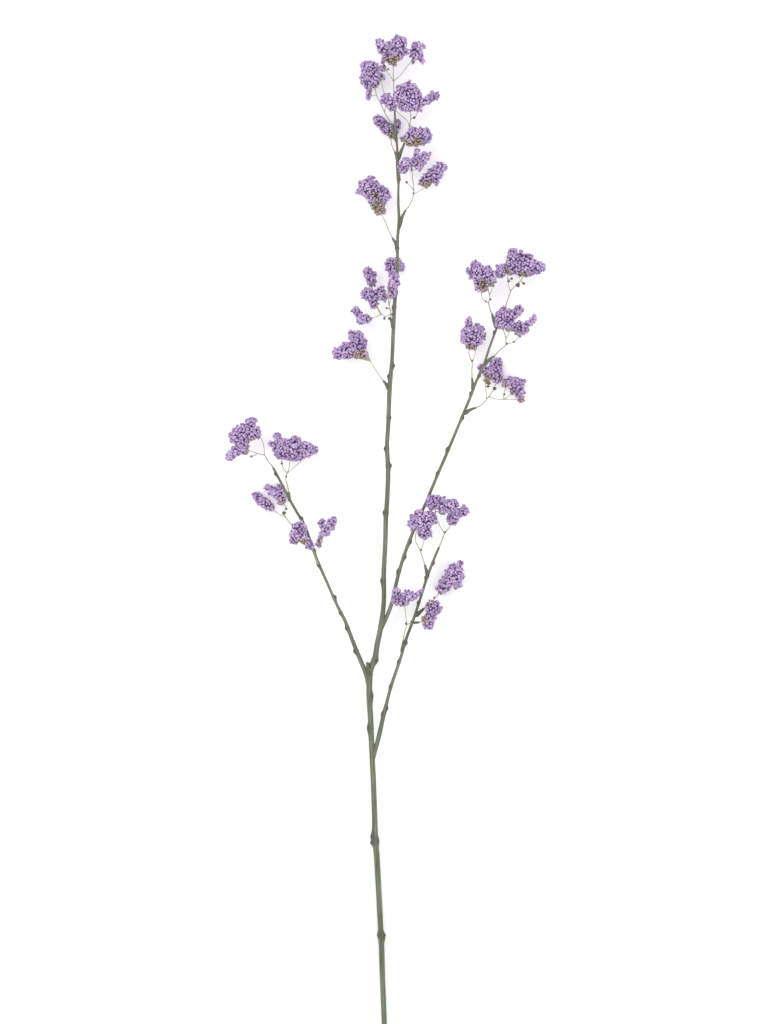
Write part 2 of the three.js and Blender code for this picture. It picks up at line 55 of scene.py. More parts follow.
# Setting
# The middle and height of the picture, in the layout. The lamps and the floor are in metres and watts.
PHOTO_MIDDLE = (-0.5, 524.5)
PHOTO_HEIGHT = 1024.0
CAMERA_HEIGHT = 25000.0
SENSOR = 36.0
FLOOR_REACH = 40.0
FLOOR_GLOW = 0.2
SKY_STRENGTH = 1.05
LAMP_SIZE = 2.4
LAMPS = {"key_lamp": ((-1.8, 1.6, 3.2), 36), "fill_lamp": ((2.2, -1.4, 3.0), 18)}

# Rods
# How far apart their rings are, how many sides each kind has, and the diameters of the thin ones.
RING_STEP = 1.6
STALK_SIDES = 16
PEG_SIDES = 12
TWIG_SIDES = 8
STRAND_SIDES = 6
TWIG_ROOT = 1.15
TWIG_TIP = 0.7
STRAND_ROOT = 0.6
STRAND_TIP = 0.4
# A stalk's slow waves. Its scars: how much steeper towards the tip, how far turned up, and the ring round.
WAVE_HEIGHT = 0.06
WAVE_LENGTHS = (9, 23)
SCAR_STEEPNESS = 1.6
SCAR_TURN = 0.3
SCAR_RING = 0.25
SCAR_RING_REACH = 1.2
# The dark stain on a scar: its share of the scar's length, and how far past the side it goes.
STAIN_SHARE = 0.4
STAIN_WIDTH = 0.35
# A peg's flare and where it is widest, its waist at the root and its ridges.
PEG_FLARE = 0.7
PEG_BELLY = 3
PEG_WAIST = 0.3
PEG_RIDGE = 0.05
# The knot at a twig's root, and the low joints along it.
KNOT_RISE = 0.3
KNOT_LENGTH = 1.8
JOINT_RISE = 0.06
JOINT_SPACING = 7.3
JOINT_PLACE = 3.6

# Buds and strands
# A bud's egg is [height, radius] rings and a tip, all times its size, on a stalk with a random lean.
BUD_EGG = np.array([[-1.5, 0.35], [-1.2, 0.75], [-0.5, 1.15], [0.3, 1.2], [1.0, 0.9], [1.6, 0.45]])
BUD_TIP = 1.9
BUD_RIDGE = 0.12
BUD_STALK = 0.35
BUD_STALK_LEAST = 0.5
BUD_RING_LOWEST = 0.1
BUD_LEAN = 0.1
BUD_LIFT = 0.05
BUD_FOOT_TONE = 0.3
# The shortest strands that are made, the lobes long enough for three, and how a strand bends up.
SEARCH_STEP = 0.5
STRAND_LEAST = 1.5
LONG_LOBE = 4
STRAND_RISE = 0.06
# The fan of strands in a dry spot: its spread and rise as shares of the spot's reach, and its bends.
FAN_STRANDS = 12
FAN_LEAST = 2
FAN_SPREAD = 0.4
FAN_RISE = 0.3
FAN_BEND = 0.6

# Florets
# How they stand: spacing, seat, hills and clefts, random lift and slide, and the strays that stand out.
# CELL_SHARE is the area of a floret's six-sided cell over its spacing squared.
FLORET_SPACING = 3.02
FLORET_HEIGHT = 1.45
FLORETS_LEAST = 5
SPINDLE_STEPS = 201
CELL_SHARE = np.sqrt(3) / 2
GOLDEN_ANGLE = np.pi * (3 - np.sqrt(5))
KNOB_SIZE = 7.0
KNOB_RISE = 0.55
KNOB_WAVES = 8
KNOB_RANGE = (0.7, 1.3)
LIFT_SPREAD = 0.25
LIFT_SINK = 0.2
LIFT_LOWEST = -1.4
SLIDE_SPREAD = 0.5
STRAY_SHARE = 0.08
STRAY_LIFT = (0.5, 1.5)
BURIED_DEPTH = 1.3
LOBE_LEAST = 0.5
TABLE_GAP = 0.3
# A floret's rings from its foot to its rim, closed as a bud and open, in its own size.
FLORET_SIDES = 10
PETALS = 5
BUD_HEIGHTS = np.array([-2.6, -0.5, 0.45, 1.1])
BUD_RADII = np.array([0.25, 0.95, 0.95, 0.5])
BUD_MIDDLE = 1.45
OPEN_HEIGHTS = np.array([-2.6, -0.6, 0.3, 0.95])
OPEN_RADII = np.array([0.25, 1.15, 1.52, 0.95])
OPEN_LOBES = np.array([0, 0.08, 0.2, 0.2])
OPEN_MIDDLE = 1.12
# Painted light and shade: each ring's tone and the middle's, from painted shade at the foot to painted light
# at the rim.
RING_SHADING = [0.0, 0.42, 0.85, 1.0]
MIDDLE_SHADING = 0.85
# How much the florets differ, and how dry ones close and shrink.
OPENNESS = 0.8
OPENNESS_SPREAD = 0.25
OPENNESS_LEAST = 0.05
FLORET_SIZES = (0.78, 1.2)
FACING_SPREAD = 0.32
# Painted shade: the share of florets darkened as if sunk in shade among the others, and the tones of these
# and of the rest.
SHADED_SHARE = 0.16
SHADED_TONES = (0.35, 0.6)
LIT_TONES = (0.8, 1)
DRY_CLOSING = 0.4
DRY_SHRINKING = 0.12
TWIG_DRY_REACH = 4.5
# The core under a lobe's florets, a dark body of painted shade for the gaps between them: how deep,
# its least share of the lobe, and where its end rings are.
CORE_DEPTH = 3.7
CORE_SHARE = 0.3
CORE_SIDES = 12
CORE_RINGS = 9
CORE_END = 0.47

# Each stalk as [x, y, z, diameter] from its foot up, and the short pegs that the twigs stand on.
STALKS = {
    "main": [
        [0.3, 0, 2.2, 5.1], [-1.1, 36, 2.5, 5.2], [-3.3, 96, 4.8, 5.6], [-6.4, 156, 7.2, 5.8],
        [-7.4, 176, 8, 5.9], [-9.6, 206, 9.2, 5.9], [-9.8, 220, 9.8, 5.6], [-11.3, 256, 11.2, 5.5],
        [-13.9, 316, 13.8, 5.6], [-15.1, 350, 15.4, 5.9], [-13.8, 367, 16.2, 5.8], [-9.2, 380, 16.8, 5.9],
        [-7.3, 392, 17.2, 5.5], [-4.8, 404, 17.6, 5.3], [-0.8, 436, 18.8, 4.7], [-0.7, 464, 19.4, 4.7],
        [0.9, 496, 20.2, 4.7], [1.5, 520, 20.6, 4.8], [2.5, 536, 21, 4.8], [3.6, 566, 21.4, 4.8],
        [2.5, 594, 21.8, 4.4], [3.6, 608, 21.9, 4.5], [4.3, 626, 22, 4.4], [6, 660, 22, 4.6],
        [7.3, 672, 22.1, 4], [8.5, 700, 22.4, 3.9], [10.5, 738, 22.5, 3.7], [12.8, 770, 22.5, 3.4],
        [13.3, 800, 22.4, 3.1], [14.4, 818, 22.2, 3], [13.8, 832, 22.1, 2.8], [13.9, 853, 22, 2.6],
        [13.8, 860, 21.9, 3.8], [12.9, 876, 21.8, 3.6], [12.7, 888, 21.8, 2.4], [11.9, 898, 21.8, 2.3],
        [10, 929, 22, 1.9],
    ],
    "left": [
        [-15.2, 348, 15.2, 4.8], [-18.3, 362, 16, 4.7], [-24.4, 377, 16.6, 4.4], [-31.9, 396, 17.5, 4.1],
        [-39.5, 416, 18.3, 3.4], [-46.7, 430, 18.8, 3.1], [-58.2, 456, 19.6, 2.9], [-61.9, 464, 19.8, 2.9],
        [-67.3, 476, 20, 3.1], [-74.3, 496, 20.3, 2.9], [-81.2, 514, 20.5, 2.7], [-85, 520, 20.5, 2.7],
        [-94.2, 536, 20.5, 2.7], [-104.4, 556, 20.5, 2.5], [-111.4, 569, 20.5, 2.3],
    ],
    "right": [
        [-3.2, 408, 17.7, 4.2], [1.8, 419, 18.2, 4.1], [6.8, 432, 18.5, 3.9], [11.2, 451, 18.9, 3.7],
        [18, 476, 19.4, 3.4], [25, 496, 19.8, 3.4], [39.3, 529, 20.3, 3], [48.8, 552, 20.6, 3.1],
        [59.2, 576, 20.9, 3.2], [76.1, 616, 21.3, 2.9], [84.4, 636, 21.5, 2.8], [92.9, 658, 21.7, 2.6],
        [99.6, 673, 21.8, 2.4], [104.6, 688, 22, 2.3], [112.3, 709, 22, 2],
    ],
    "low": [
        [-12.9, 271, 12, 4.3], [-9.7, 285, 12.6, 4.5], [-6.4, 297, 13.1, 4.5], [-2.2, 316, 14, 4.3],
        [2.7, 336, 15, 3.5], [8.4, 356, 15.8, 3.4], [15.3, 376, 16.3, 3.1], [21.6, 397, 16.8, 3.1],
        [28.5, 416, 17.2, 2.9], [35.4, 437, 17.5, 2.7], [41.5, 456, 18, 2.8], [48.8, 476, 18.5, 2.5],
        [54.2, 489, 18.5, 2.4],
    ],
}
PEGS = [
    [[-15.4, 361, 17.5, 3.4], [-16.4, 368, 18.6, 3.2], [-17, 374.5, 19.2, 2.6]],
    [[12.1, 894, 21.8, 2.3], [10, 903, 21.4, 2.2], [7.5, 912, 20.6, 1.8]],
    [[13.4, 876, 21.8, 2.7], [16.6, 885, 22, 2.7], [20.2, 893, 21.8, 1.5]],
    [[13.4, 874, 21.8, 2.2], [12, 880, 20.2, 2], [10.5, 884, 18, 1.7]],
    [[14.8, 810, 22.3, 3], [18, 820, 22.8, 2.7], [21, 826, 23.2, 2]],
    [[13.7, 786, 22.4, 3], [10.6, 794, 22, 2.6], [8, 798, 21.4, 2]],
    [[9.4, 706, 22.5, 2.9], [7.6, 713, 23, 2.5], [6, 718, 23.2, 2]],
    [[5.4, 645, 22, 3.2], [2.4, 651, 21.4, 3], [-1, 655.5, 20.6, 2]],
    [[99.6, 671, 21.8, 2.4], [105, 677, 23, 2.2], [109.5, 680, 24.5, 1.8]],
    [[88.4, 645, 21.6, 2.5], [88, 653, 21, 2.3], [87.5, 658, 20.2, 1.8]],
    [[79.5, 622, 21.4, 2.6], [86, 626.8, 20.2, 2.3], [91, 628.5, 18.6, 1.9]],
    [[112.4, 707, 22, 2.4], [109.8, 714, 22.6, 2.8], [107.5, 722, 23.4, 1.9]],
    [[-95, 535, 20.5, 2.4], [-95.4, 540, 21.2, 2.2], [-95.6, 544, 21.8, 1.8]],
    [[-78.5, 509, 20.5, 2.4], [-82.5, 509.3, 18.8, 2.2], [-85, 508.5, 17, 1.8]],
    [[43.6, 459, 18, 2.8], [41.8, 466, 19, 2.5], [40.4, 471.5, 20.4, 1.9]],
    [[31, 420, 17.3, 2.8], [36, 425, 16.6, 2.6], [39.5, 428, 15.6, 2.1]],
    [[28, 413.5, 17.1, 1.4], [32, 414, 18.6, 1.3], [34.5, 414.3, 20, 1.2]],
    [[17.2, 383.5, 16.5, 2.5], [18.2, 391, 18.7, 2.2], [18.8, 396, 20.8, 1.8]],
]

# The bud scars on each stalk: [y, side (1 is right, -1 left), length, height].
SCARS = {
    "main": [
        [101, 1, 11, 2], [102, -1, 12, 1], [200, -1, 15, 2], [194, -1, 5, 2], [196, 1, 9, 0.8],
        [309, -1, 13, 1.5], [341, 1, 15, 1.5], [369, -1, 9, 2.2], [377, 1, 10, 1.5], [524, -1, 6, 1.6],
        [571, 1, 6, 1.8], [588, -1, 6, 1.4], [660, -1, 5, 1.6], [671, 1, 6, 1.6], [811, 1, 7, 1.4],
        [456, -1, 9, 1.3], [744, 1, 8, 0.8], [789, -1, 7, 1.4], [857, 1, 6, 0.7], [619, 1, 6, 0.8],
        [729, -1, 6, 0.8],
    ],
    "left": [
        [386, -1, 7, 1.6], [409, -1, 7, 1.4], [439, 1, 6, 1.9], [541, 1, 5, 1.4], [424, -1, 5, 0.8],
        [472, -1, 6, 1], [486, 1, 5, 0.9], [518, 1, 5, 1.2], [563, -1, 5, 1.2],
    ],
    "right": [
        [465, -1, 7, 1.3], [480, 1, 6, 1.4], [495, 1, 7, 1.3], [587, -1, 6, 1.6], [619, 1, 6, 1.4],
        [540, 1, 6, 1], [563, -1, 5, 0.9], [643, -1, 5, 1.3], [661, 1, 5, 0.9], [704, -1, 5, 1.4],
    ],
    "low": [
        [329, 1, 7, 1.4], [375, -1, 7, 0.9], [434, -1, 5, 1], [459, -1, 5, 1.8], [323, -1, 8, 1.2],
        [350, -1, 6, 0.6], [394, 1, 6, 1.4], [474, 1, 5, 1.3],
    ],
}

# Each spray's twigs, as curves through [x, y, z].
TWIGS = {
    "main_1": [
        [[10, 929, 22], [9.5, 941, 22.5], [9, 955, 23], [8.7, 965, 24], [9, 978, 26]],
        [[9, 955, 23], [16, 961, 22], [23, 970, 20.5], [29, 977, 20]],
        [[9, 955, 23], [5, 961, 22], [2, 965, 21], [0, 969, 20]],
    ],
    "main_2": [
        [[7.5, 912, 20.6], [4, 917, 20], [0, 924, 19], [-4, 933, 18], [-8, 941, 17], [-10, 956, 16]],
        [[0, 924, 19], [1, 933, 18.5], [0, 941, 18], [-1, 946, 17.5], [-4, 956, 16.5]],
    ],
    "main_3": [
        [[18.4, 890, 21.8], [21, 899, 20.4], [25, 909, 22], [26, 917, 24.5], [26, 928, 27]],
        [[19.4, 894, 20.8], [23, 894.5, 24], [27, 896, 28]],
        [[25, 909, 22], [23, 915, 24], [16, 921, 26], [12, 925, 27.2], [7, 930, 28]],
        [[26, 917, 24.5], [31, 920, 25], [34, 926, 27]],
    ],
    "main_4": [
        [[10.5, 884, 18], [8, 889, 14], [6.5, 895, 10], [6, 903, 7]],
    ],
    "main_5": [
        [[21, 826, 23.2], [25, 831, 23.5], [29, 842, 24], [28, 858, 25], [27, 865, 26], [22, 869, 28]],
        [[27, 865, 26], [31, 867, 27], [32, 873, 28]],
        [[28.8, 846, 24.2], [26, 850, 24], [22, 853, 23.5]],
        [[29, 842, 24], [36, 846, 21], [43, 851, 18], [47, 857, 16]],
    ],
    "main_6": [
        [[8, 798, 21.4], [4.2, 806, 21], [2, 812, 20.5], [-1, 818, 20], [-6, 826, 19]],
    ],
    "main_7": [
        [[6, 718, 23.2], [6.4, 724, 25], [4, 734, 28], [5, 744, 30]],
        [[6.2, 722, 24.4], [1, 720, 24], [-3, 722, 24], [-9, 731, 25]],
        [[-3, 722, 24], [-6, 720.5, 21], [-10, 719, 18.5], [-17, 718, 16]],
        [[-3, 722, 24], [-7, 729, 18.5], [-10, 739, 15], [-13, 753, 14]],
        [[6.4, 724, 25], [5, 729, 21.5], [6, 738, 16], [8, 750, 12], [9, 764, 9]],
    ],
    "main_8": [
        [[-1, 655.5, 20.6], [-4, 659.5, 20.3], [-8, 665, 20], [-14, 675, 19]],
    ],
    "right_1": [
        [[107.5, 722, 23.4], [105, 728, 24], [104, 733, 25], [98, 737, 26], [96.5, 749, 27]],
        [[104, 733, 25], [105, 740, 26], [104, 745, 26.5], [102, 751, 27]],
        [[104.8, 741, 26.2], [107, 746, 26.6], [108, 753, 27]],
    ],
    "right_2": [
        [[113.6, 711, 22], [117, 720, 22], [121, 730, 22], [124, 739, 21], [126, 745, 20.5], [130, 750, 20],
         [136, 756, 20], [142, 765, 20]],
        [[126, 745, 20.5], [124, 751, 20], [123, 760, 20], [125, 770, 20]],
    ],
    "right_3": [
        [[109.5, 680, 24.5], [115, 686, 25.5], [121, 691.5, 26.5], [121, 698, 29], [119, 706, 31],
         [118, 712, 32.5]],
        [[121, 698, 29], [124, 702, 31], [124, 707, 33]],
        [[121, 691.5, 26.5], [125, 693, 26.5], [129, 694, 26.5], [133, 698, 27], [135, 704, 27]],
    ],
    "right_4": [
        [[87.5, 658, 20.2], [87.3, 666, 19.6], [87.5, 674, 19], [85, 680, 18], [84.5, 692, 16.5]],
        [[87.5, 674, 19], [90, 680, 18], [90.5, 692, 16.5]],
    ],
    "right_5": [
        [[91, 628.5, 18.6], [96, 631, 17], [102, 637, 15], [106, 642, 12], [110, 649, 9], [113, 658, 7]],
        [[102, 637, 15], [101.5, 645, 12.5], [101, 652, 10], [101, 660, 8]],
        [[104, 639.6, 13.5], [111, 637.5, 12.5], [119, 637, 12], [127, 637, 11.5], [137, 637, 10]],
        [[119, 637, 12], [119.5, 643, 11], [121.5, 650, 10]],
        [[119, 637, 12], [124, 640, 11.5], [128, 645, 10]],
    ],
    "left_1": [
        [[-111.3, 569.4, 20.5], [-116, 575, 21.5], [-120, 581, 22.5], [-127, 583, 23], [-138, 587, 24]],
        [[-120, 581, 22.5], [-121, 592, 24.5], [-124, 599, 25.5], [-131, 602, 26]],
        [[-127, 583, 23], [-131, 580.5, 22.6], [-135, 580, 22.4]],
    ],
    "left_2": [
        [[-95.6, 544, 21.8], [-97, 551, 22], [-98.5, 558, 22], [-97.5, 563, 22], [-101, 568, 22],
         [-102.5, 574, 22], [-102, 582, 22]],
        [[-97.5, 563, 22], [-95.5, 568, 22], [-94.5, 575, 22], [-92, 583, 22]],
        [[-97.5, 563, 22], [-91, 568.5, 22], [-84, 575, 22], [-80, 581, 22]],
    ],
    "left_3": [
        [[-85, 508.5, 17], [-91, 510, 14.5], [-95, 514, 12], [-99, 519, 10], [-105, 522, 8],
         [-115, 530, 5.5]],
        [[-99, 519, 10], [-100, 523, 9], [-98.5, 527, 8], [-102, 536, 7]],
    ],
    "left_4": [
        [[-66, 472, 22.9], [-69, 480, 23.3], [-72, 487, 24], [-76, 489, 25.5], [-83, 494, 28.5]],
        [[-72, 487, 24], [-70.5, 490.5, 23], [-67, 492, 21.6], [-64.5, 496, 20.5]],
    ],
    "low_1": [
        [[54.5, 489, 18.5], [57, 495, 20], [60, 503, 22], [64, 508, 24], [68, 515, 28]],
        [[60, 503, 22], [55, 511, 24.5], [51.5, 521, 27], [50, 531, 29]],
    ],
    "low_2": [
        [[40.4, 471.5, 20.4], [38.4, 478, 22], [35.6, 486, 24.5], [31, 496, 28], [32, 508, 30]],
        [[35.6, 486, 24.5], [38.3, 491, 26.5], [40, 500, 29.5]],
    ],
    "low_3": [
        [[39.5, 428, 15.6], [45, 433, 14], [50, 438, 12], [57, 446, 9]],
    ],
    "low_4": [
        [[34.5, 414.3, 20], [38, 414.8, 21.8], [43, 416, 23.4]],
    ],
    "low_5": [
        [[18.8, 396, 20.8], [20, 404, 23], [22, 412, 25], [21.5, 419, 27], [20, 432, 29.5]],
        [[22, 412, 25], [25, 413, 25.6], [27.5, 414, 26]],
    ],
}

# Each spray's heads, as lists of lobes: [x, y, z, width] or, from end to end,
# [x, y, z, x, y, z, width].
HEADS = {
    "main_1": [
        [[-7.5, 998, 22, 7.5, 971.5, 26, 11], [15.5, 1001, 32, 12, 976, 28, 16],
         [7.5, 991.5, 27, 9.5, 970, 26, 10], [19.5, 984, 30, 8], [-4, 985.5, 24, 6], [14, 977.5, 29, 6],
         [3.5, 992.5, 27, 6], [-1, 974.5, 22, 4.5]],
        [[34.5, 995, 19, 30.5, 975.5, 20, 13], [33, 984.5, 20, 38.5, 972.5, 21, 7], [28.5, 975, 20, 5],
         [38.5, 989, 19, 6]],
    ],
    "main_2": [
        [[-20, 975, 16, -17.5, 958.5, 16, 11], [-15, 976, 15, -12.5, 947, 16, 18],
         [-13.5, 955.5, 15, -17, 935.5, 13, 6.5], [-5, 959.5, 16, 9.5], [-22, 959.5, 15, 6],
         [-21.5, 954, 15, 6], [-2, 967.5, 17, 7]],
    ],
    "main_3": [
        [[-1, 942.5, 28, 9.5, 926, 28, 11.5], [-1, 935, 28, 7]],
        [[21.5, 954, 31, 25, 924, 30, 24], [33.5, 932.5, 30, 55, 942, 29, 10], [23, 951.5, 31, 7.5],
         [35, 941.5, 31, 5.5], [29.5, 950, 31, 6], [13, 938.5, 31, 10], [13.5, 949.5, 31, 4.5],
         [47.5, 944, 30, 4], [34, 927.5, 31, 7.5]],
        [[19, 895.5, 31, 47, 902, 30, 18.5], [27, 905, 31, 7.5], [32, 907.5, 31, 4],
         [17.5, 896.5, 31, 4.5]],
    ],
    "main_4": [
        [[-10.5, 920.5, 5.8, 11.5, 899, 5.8, 12], [14, 918, 7, 9, 901, 6, 8.5]],
    ],
    "main_5": [
        [[20.5, 879, 29, 18.5, 862, 28, 10.5], [20.5, 874, 29, 40, 872, 28, 10],
         [31, 887.5, 28, 35.5, 864.5, 28, 7], [33.5, 871.5, 28, 44, 882.5, 28, 10], [33, 885, 29, 5],
         [44, 882, 28, 4]],
        [[35.5, 850, 17, 60.5, 873, 14, 13], [47, 865, 16, 7], [54.5, 861, 15, 7], [52, 854, 17, 7],
         [61, 868, 17, 5]],
    ],
    "main_6": [
        [[-26, 852, 20, 6, 837, 20, 19], [-15, 842.5, 19, -4, 821, 18, 10], [-2.5, 837, 19, -1, 822, 19, 7],
         [-14, 856, 20, 9], [-23.5, 853, 20, 7], [-25.5, 844, 20, 6], [-7.5, 853, 20, 4.5]],
    ],
    "main_7": [
        [[9, 771.5, 8.2, 16], [10.5, 768.5, 8, 19.5, 770, 8, 10], [5.5, 775.5, 8, 6]],
        [[10, 766, 30, 6.5, 737.5, 30, 10.5], [12, 753.5, 30, 5]],
        [[-18.5, 769, 14, -11.5, 749, 14, 10.5], [-15, 763, 14, 8], [-10.5, 762.5, 14, 5]],
        [[-24, 744, 25, -4.5, 738.5, 25, 13.5], [-14, 741, 25, -8.5, 728, 25, 10],
         [-5, 750, 24, 1, 735, 24, 9.5], [-16.5, 746.5, 25, 6]],
        [[-31, 730, 16, -21.5, 714.5, 16, 9], [-28.5, 716.5, 16, -13, 718.5, 16, 11]],
    ],
    "main_8": [
        [[-29.5, 705.5, 18, -24, 683, 18, 16], [-52.5, 681.5, 17, -25.5, 686.5, 18, 14],
         [-34, 683, 18, -16, 681.5, 19, 10], [-37.5, 690, 18, 9], [-21.5, 695.5, 18, 7],
         [-43, 688.5, 17, 6], [-33, 703, 18, 6]],
    ],
    "right_1": [
        [[89, 776, 28, 94, 760.5, 28, 10.5], [96.5, 761.5, 28, 19], [105, 768, 28, 107.5, 749, 27, 9.5],
         [98, 760, 27, 98, 743.5, 27, 11], [86, 764.5, 28, 9], [103.5, 766, 28, 7.5],
         [92, 759, 27, 94.5, 744, 27, 8], [86.5, 759, 28, 5]],
    ],
    "right_2": [
        [[112, 759.5, 19, 127.5, 773.5, 20, 11], [121, 774, 20, 151, 770, 20, 24],
         [142, 765, 20, 160.5, 771.5, 20, 13], [128.5, 783, 20, 10], [116, 768, 20, 9],
         [135.5, 784.5, 20, 4], [124.5, 762.5, 20, 4.5]],
    ],
    "right_3": [
        [[120.5, 717, 33.4, 21], [126.5, 716.5, 33, 137, 731, 33, 10.5],
         [120.5, 720.5, 33.4, 118.5, 730.5, 34, 8], [123, 711, 33.4, 124.5, 704.5, 34, 6.5]],
        [[133.5, 715.5, 26, 137, 699.5, 26, 12], [135.5, 705, 26, 152.5, 720.5, 26, 8.5],
         [136, 708, 26, 126.5, 708, 25, 8], [142.5, 706, 26, 5]],
    ],
    "right_4": [
        [[87.5, 700.5, 16, 22], [83.5, 707, 16, 85, 719.5, 16, 8], [89.5, 711, 16, 100, 705.5, 16, 8],
         [80, 698, 16, 9], [87, 700, 16, 87.5, 686, 16, 12], [97.5, 700, 16, 8]],
    ],
    "right_5": [
        [[110.5, 679, 6.2, 113.5, 653, 5.6, 13], [112, 670, 6, 100, 664, 7, 9],
         [103.5, 666.5, 7, 93, 668.5, 8, 8], [102.5, 667, 7, 103, 653, 7, 8], [114.5, 676, 6, 7]],
        [[117.5, 651.5, 10, 129.5, 657.5, 10, 10], [126, 656, 10, 141.5, 654, 10, 9],
         [133.5, 656.5, 10, 137, 633, 10, 9], [125.5, 658, 10, 131, 640.5, 10, 9]],
    ],
    "left_1": [
        [[-134, 619, 27, -133.5, 605, 26, 12], [-123, 605.5, 26, -155.5, 598, 25, 16.5],
         [-147, 605.5, 26, 10], [-142, 600, 25, -140, 582, 24, 12], [-140.5, 594.5, 24, -158, 576, 23, 11],
         [-130.5, 616, 27, 6], [-141.5, 611, 26, 5]],
    ],
    "left_2": [
        [[-109, 603.5, 22, -102.5, 590, 22, 10], [-103.5, 592.5, 21, -117.5, 593, 20, 7],
         [-111.5, 589, 22, -77, 584, 22, 22], [-90.5, 590, 22, -87, 600.5, 22, 11], [-78.5, 586.5, 22, 17],
         [-74.5, 587, 22, -65.5, 585, 22, 9]],
    ],
    "left_3": [
        [[-118, 552.5, 7, -111.5, 541, 6.5, 7.5], [-106, 553, 6.2, -102, 531, 6, 10.5],
         [-114, 545.5, 6.2, -103, 541, 6, 9.5]],
        [[-132, 543, 5, -110, 526, 5, 10], [-125, 534.5, 5, 7.5]],
    ],
    "left_4": [
        [[-84.5, 515.5, 29, -85, 494, 29, 15], [-90.5, 497.5, 28, 10.5],
         [-84, 502, 28, -72, 487.5, 27, 8.5], [-92.5, 503.5, 29, 4]],
        [[-62.5, 517.5, 20, -62, 506.5, 20, 8], [-48.5, 519, 20, -63, 500, 20, 10.5],
         [-60, 508, 20, -67, 489, 20, 7]],
    ],
    "low_1": [
        [[40, 535, 30, 62.5, 533, 30, 15], [66.5, 530, 30, 16], [69.5, 529, 30, 68, 511.5, 29, 12.5],
         [70.5, 521.5, 30, 84.5, 527.5, 30, 10], [77.5, 526, 30, 81.5, 531.5, 30, 5], [57.5, 525, 30, 8],
         [46.5, 527, 30, 5]],
    ],
    "low_2": [
        [[34, 514.5, 31, 19], [44, 518.5, 31, 15], [42, 519.5, 31, 38, 496.5, 30, 14],
         [40.5, 514.5, 31, 46, 498.5, 31, 6], [27, 513.5, 31, 8], [34.5, 523, 31, 9]],
    ],
    "low_3": [
        [[69.5, 461, 8.3, 19], [71.5, 467, 9, 77.5, 475.5, 9, 8], [66.5, 462, 8.5, 54.5, 443, 8, 13.5],
         [68.5, 458.5, 8.5, 75.5, 448, 8.5, 9], [77, 460, 9, 7], [67.5, 471, 8.3, 5.5]],
    ],
    "low_4": [
        [[48, 429, 24, 15.5], [47, 425, 24, 43, 406.5, 23, 12], [43, 417.5, 24, 37, 418, 24, 6.5],
         [54.5, 427.5, 24, 6]],
    ],
    "low_5": [
        [[12.5, 449.5, 30, 11, 431, 30, 9], [18, 437, 30, 14], [18.5, 443, 30, 31, 438.5, 30, 10.5],
         [28, 437.5, 30, 38, 447.5, 30, 6]],
    ],
}

# The buds beside the heads: [x, y, z, size].
BUDS = {
    "main_1": [[0, 970, 20, 1.1], [3.5, 967, 21, 0.8]],
    "main_2": [[1.2, 936, 18.6, 0.8]],
    "main_3": [[30, 919, 24.8, 1.1]],
    "main_5": [[22, 853.5, 23.5, 1.1], [27, 867, 26, 0.8], [29, 843, 24.2, 0.8]],
    "main_7": [[2, 728, 24.5, 0.8], [0, 718, 24, 1], [5, 718, 24, 1.1], [8, 722, 25.6, 0.9]],
    "right_1": [[101, 735, 25.7, 0.8], [105.6, 737, 25.6, 0.8]],
    "right_2": [[124, 755, 20.4, 1], [127, 757.5, 20, 0.9], [133, 752, 20, 1.9], [139, 753, 20, 1]],
    "right_3": [[129, 694, 26.8, 0.9], [122, 692.5, 27, 0.9], [109.5, 718, 24.5, 2]],
    "right_4": [[87.4, 676, 19, 0.8]],
    "right_5": [[110, 648, 10, 1.5], [103.5, 650, 11, 1], [119.5, 642, 11.4, 1], [104, 653, 11, 1.3]],
    "left_1": [[-133, 580, 22.4, 1.1]],
    "left_2": [[-102.4, 573, 22, 1], [-98.4, 560, 22.4, 0.9]],
    "left_3": [[-100, 522.5, 9.2, 1.6], [-98.4, 527.5, 8.2, 1.1]],
    "left_4": [[-78, 489, 26, 1]],
    "low_1": [[61, 504.5, 22.6, 0.9], [52, 518, 26.4, 0.9]],
    "low_2": [[36.5, 487, 25, 0.8]],
    "low_3": [[50, 438.5, 12.4, 0.9]],
    "low_5": [[27.5, 414, 26, 1.1], [21.8, 413.5, 25.6, 1]],
}

# Where the dry calyx of the florets shows: [x, y, z, reach].
DRY_SPOTS = {
    "main_1": [[9.5, 975, 32, 7.5], [3, 973, 28, 6]],
    "main_2": [[-9, 945, 20, 6]],
    "main_3": [[21, 892, 34, 7.5], [32, 892.5, 36, 7.5]],
    "main_4": [[8, 900, 7, 7]],
    "main_5": [[39, 850, 20, 7], [46, 854, 21, 4.5]],
    "main_6": [[-7.5, 828, 21, 9], [-9, 840, 27, 5]],
    "main_7": [],
    "main_8": [[-25, 680, 21, 7], [-15, 676, 20, 6]],
    "right_1": [[98, 750, 31, 6], [99, 755, 35, 4]],
    "right_2": [[123, 764, 23, 5], [138.5, 762, 24, 6.5]],
    "right_3": [[119, 706, 34, 5]],
    "right_4": [[86, 688, 19, 6]],
    "right_5": [[103, 655, 8, 6], [122, 652, 10, 5]],
    "left_1": [[-131, 599, 25, 6]],
    "left_2": [[-100, 583, 22, 6], [-82, 582, 22, 5]],
    "left_3": [[-103, 535, 7, 5]],
    "left_4": [[-84, 493, 29, 7]],
    "low_1": [[54, 521, 29, 6]],
    "low_2": [[31, 506, 30, 5]],
    "low_3": [[55, 440, 9, 6]],
    "low_4": [[44, 435, 25, 7], [40, 417, 24, 6]],
    "low_5": [[18, 430, 29, 6]],
}


# Arrays of surfaces
# A skin is a dict of arrays: "points" (n, 3), "quads" (q, 4), "tris" (t, 3), "paint" (n, 4) and
# "grain" (n, 3). The paint's four numbers tell the material what each point is.


def unit(vectors):
    """Vectors of length one: v / |v|."""
    return vectors / np.maximum(np.linalg.norm(vectors, axis=-1, keepdims=True), TINY)


def turns(sides):
    """The angles of a ring's points, evenly round it."""
    return np.arange(sides) * 2 * np.pi / sides


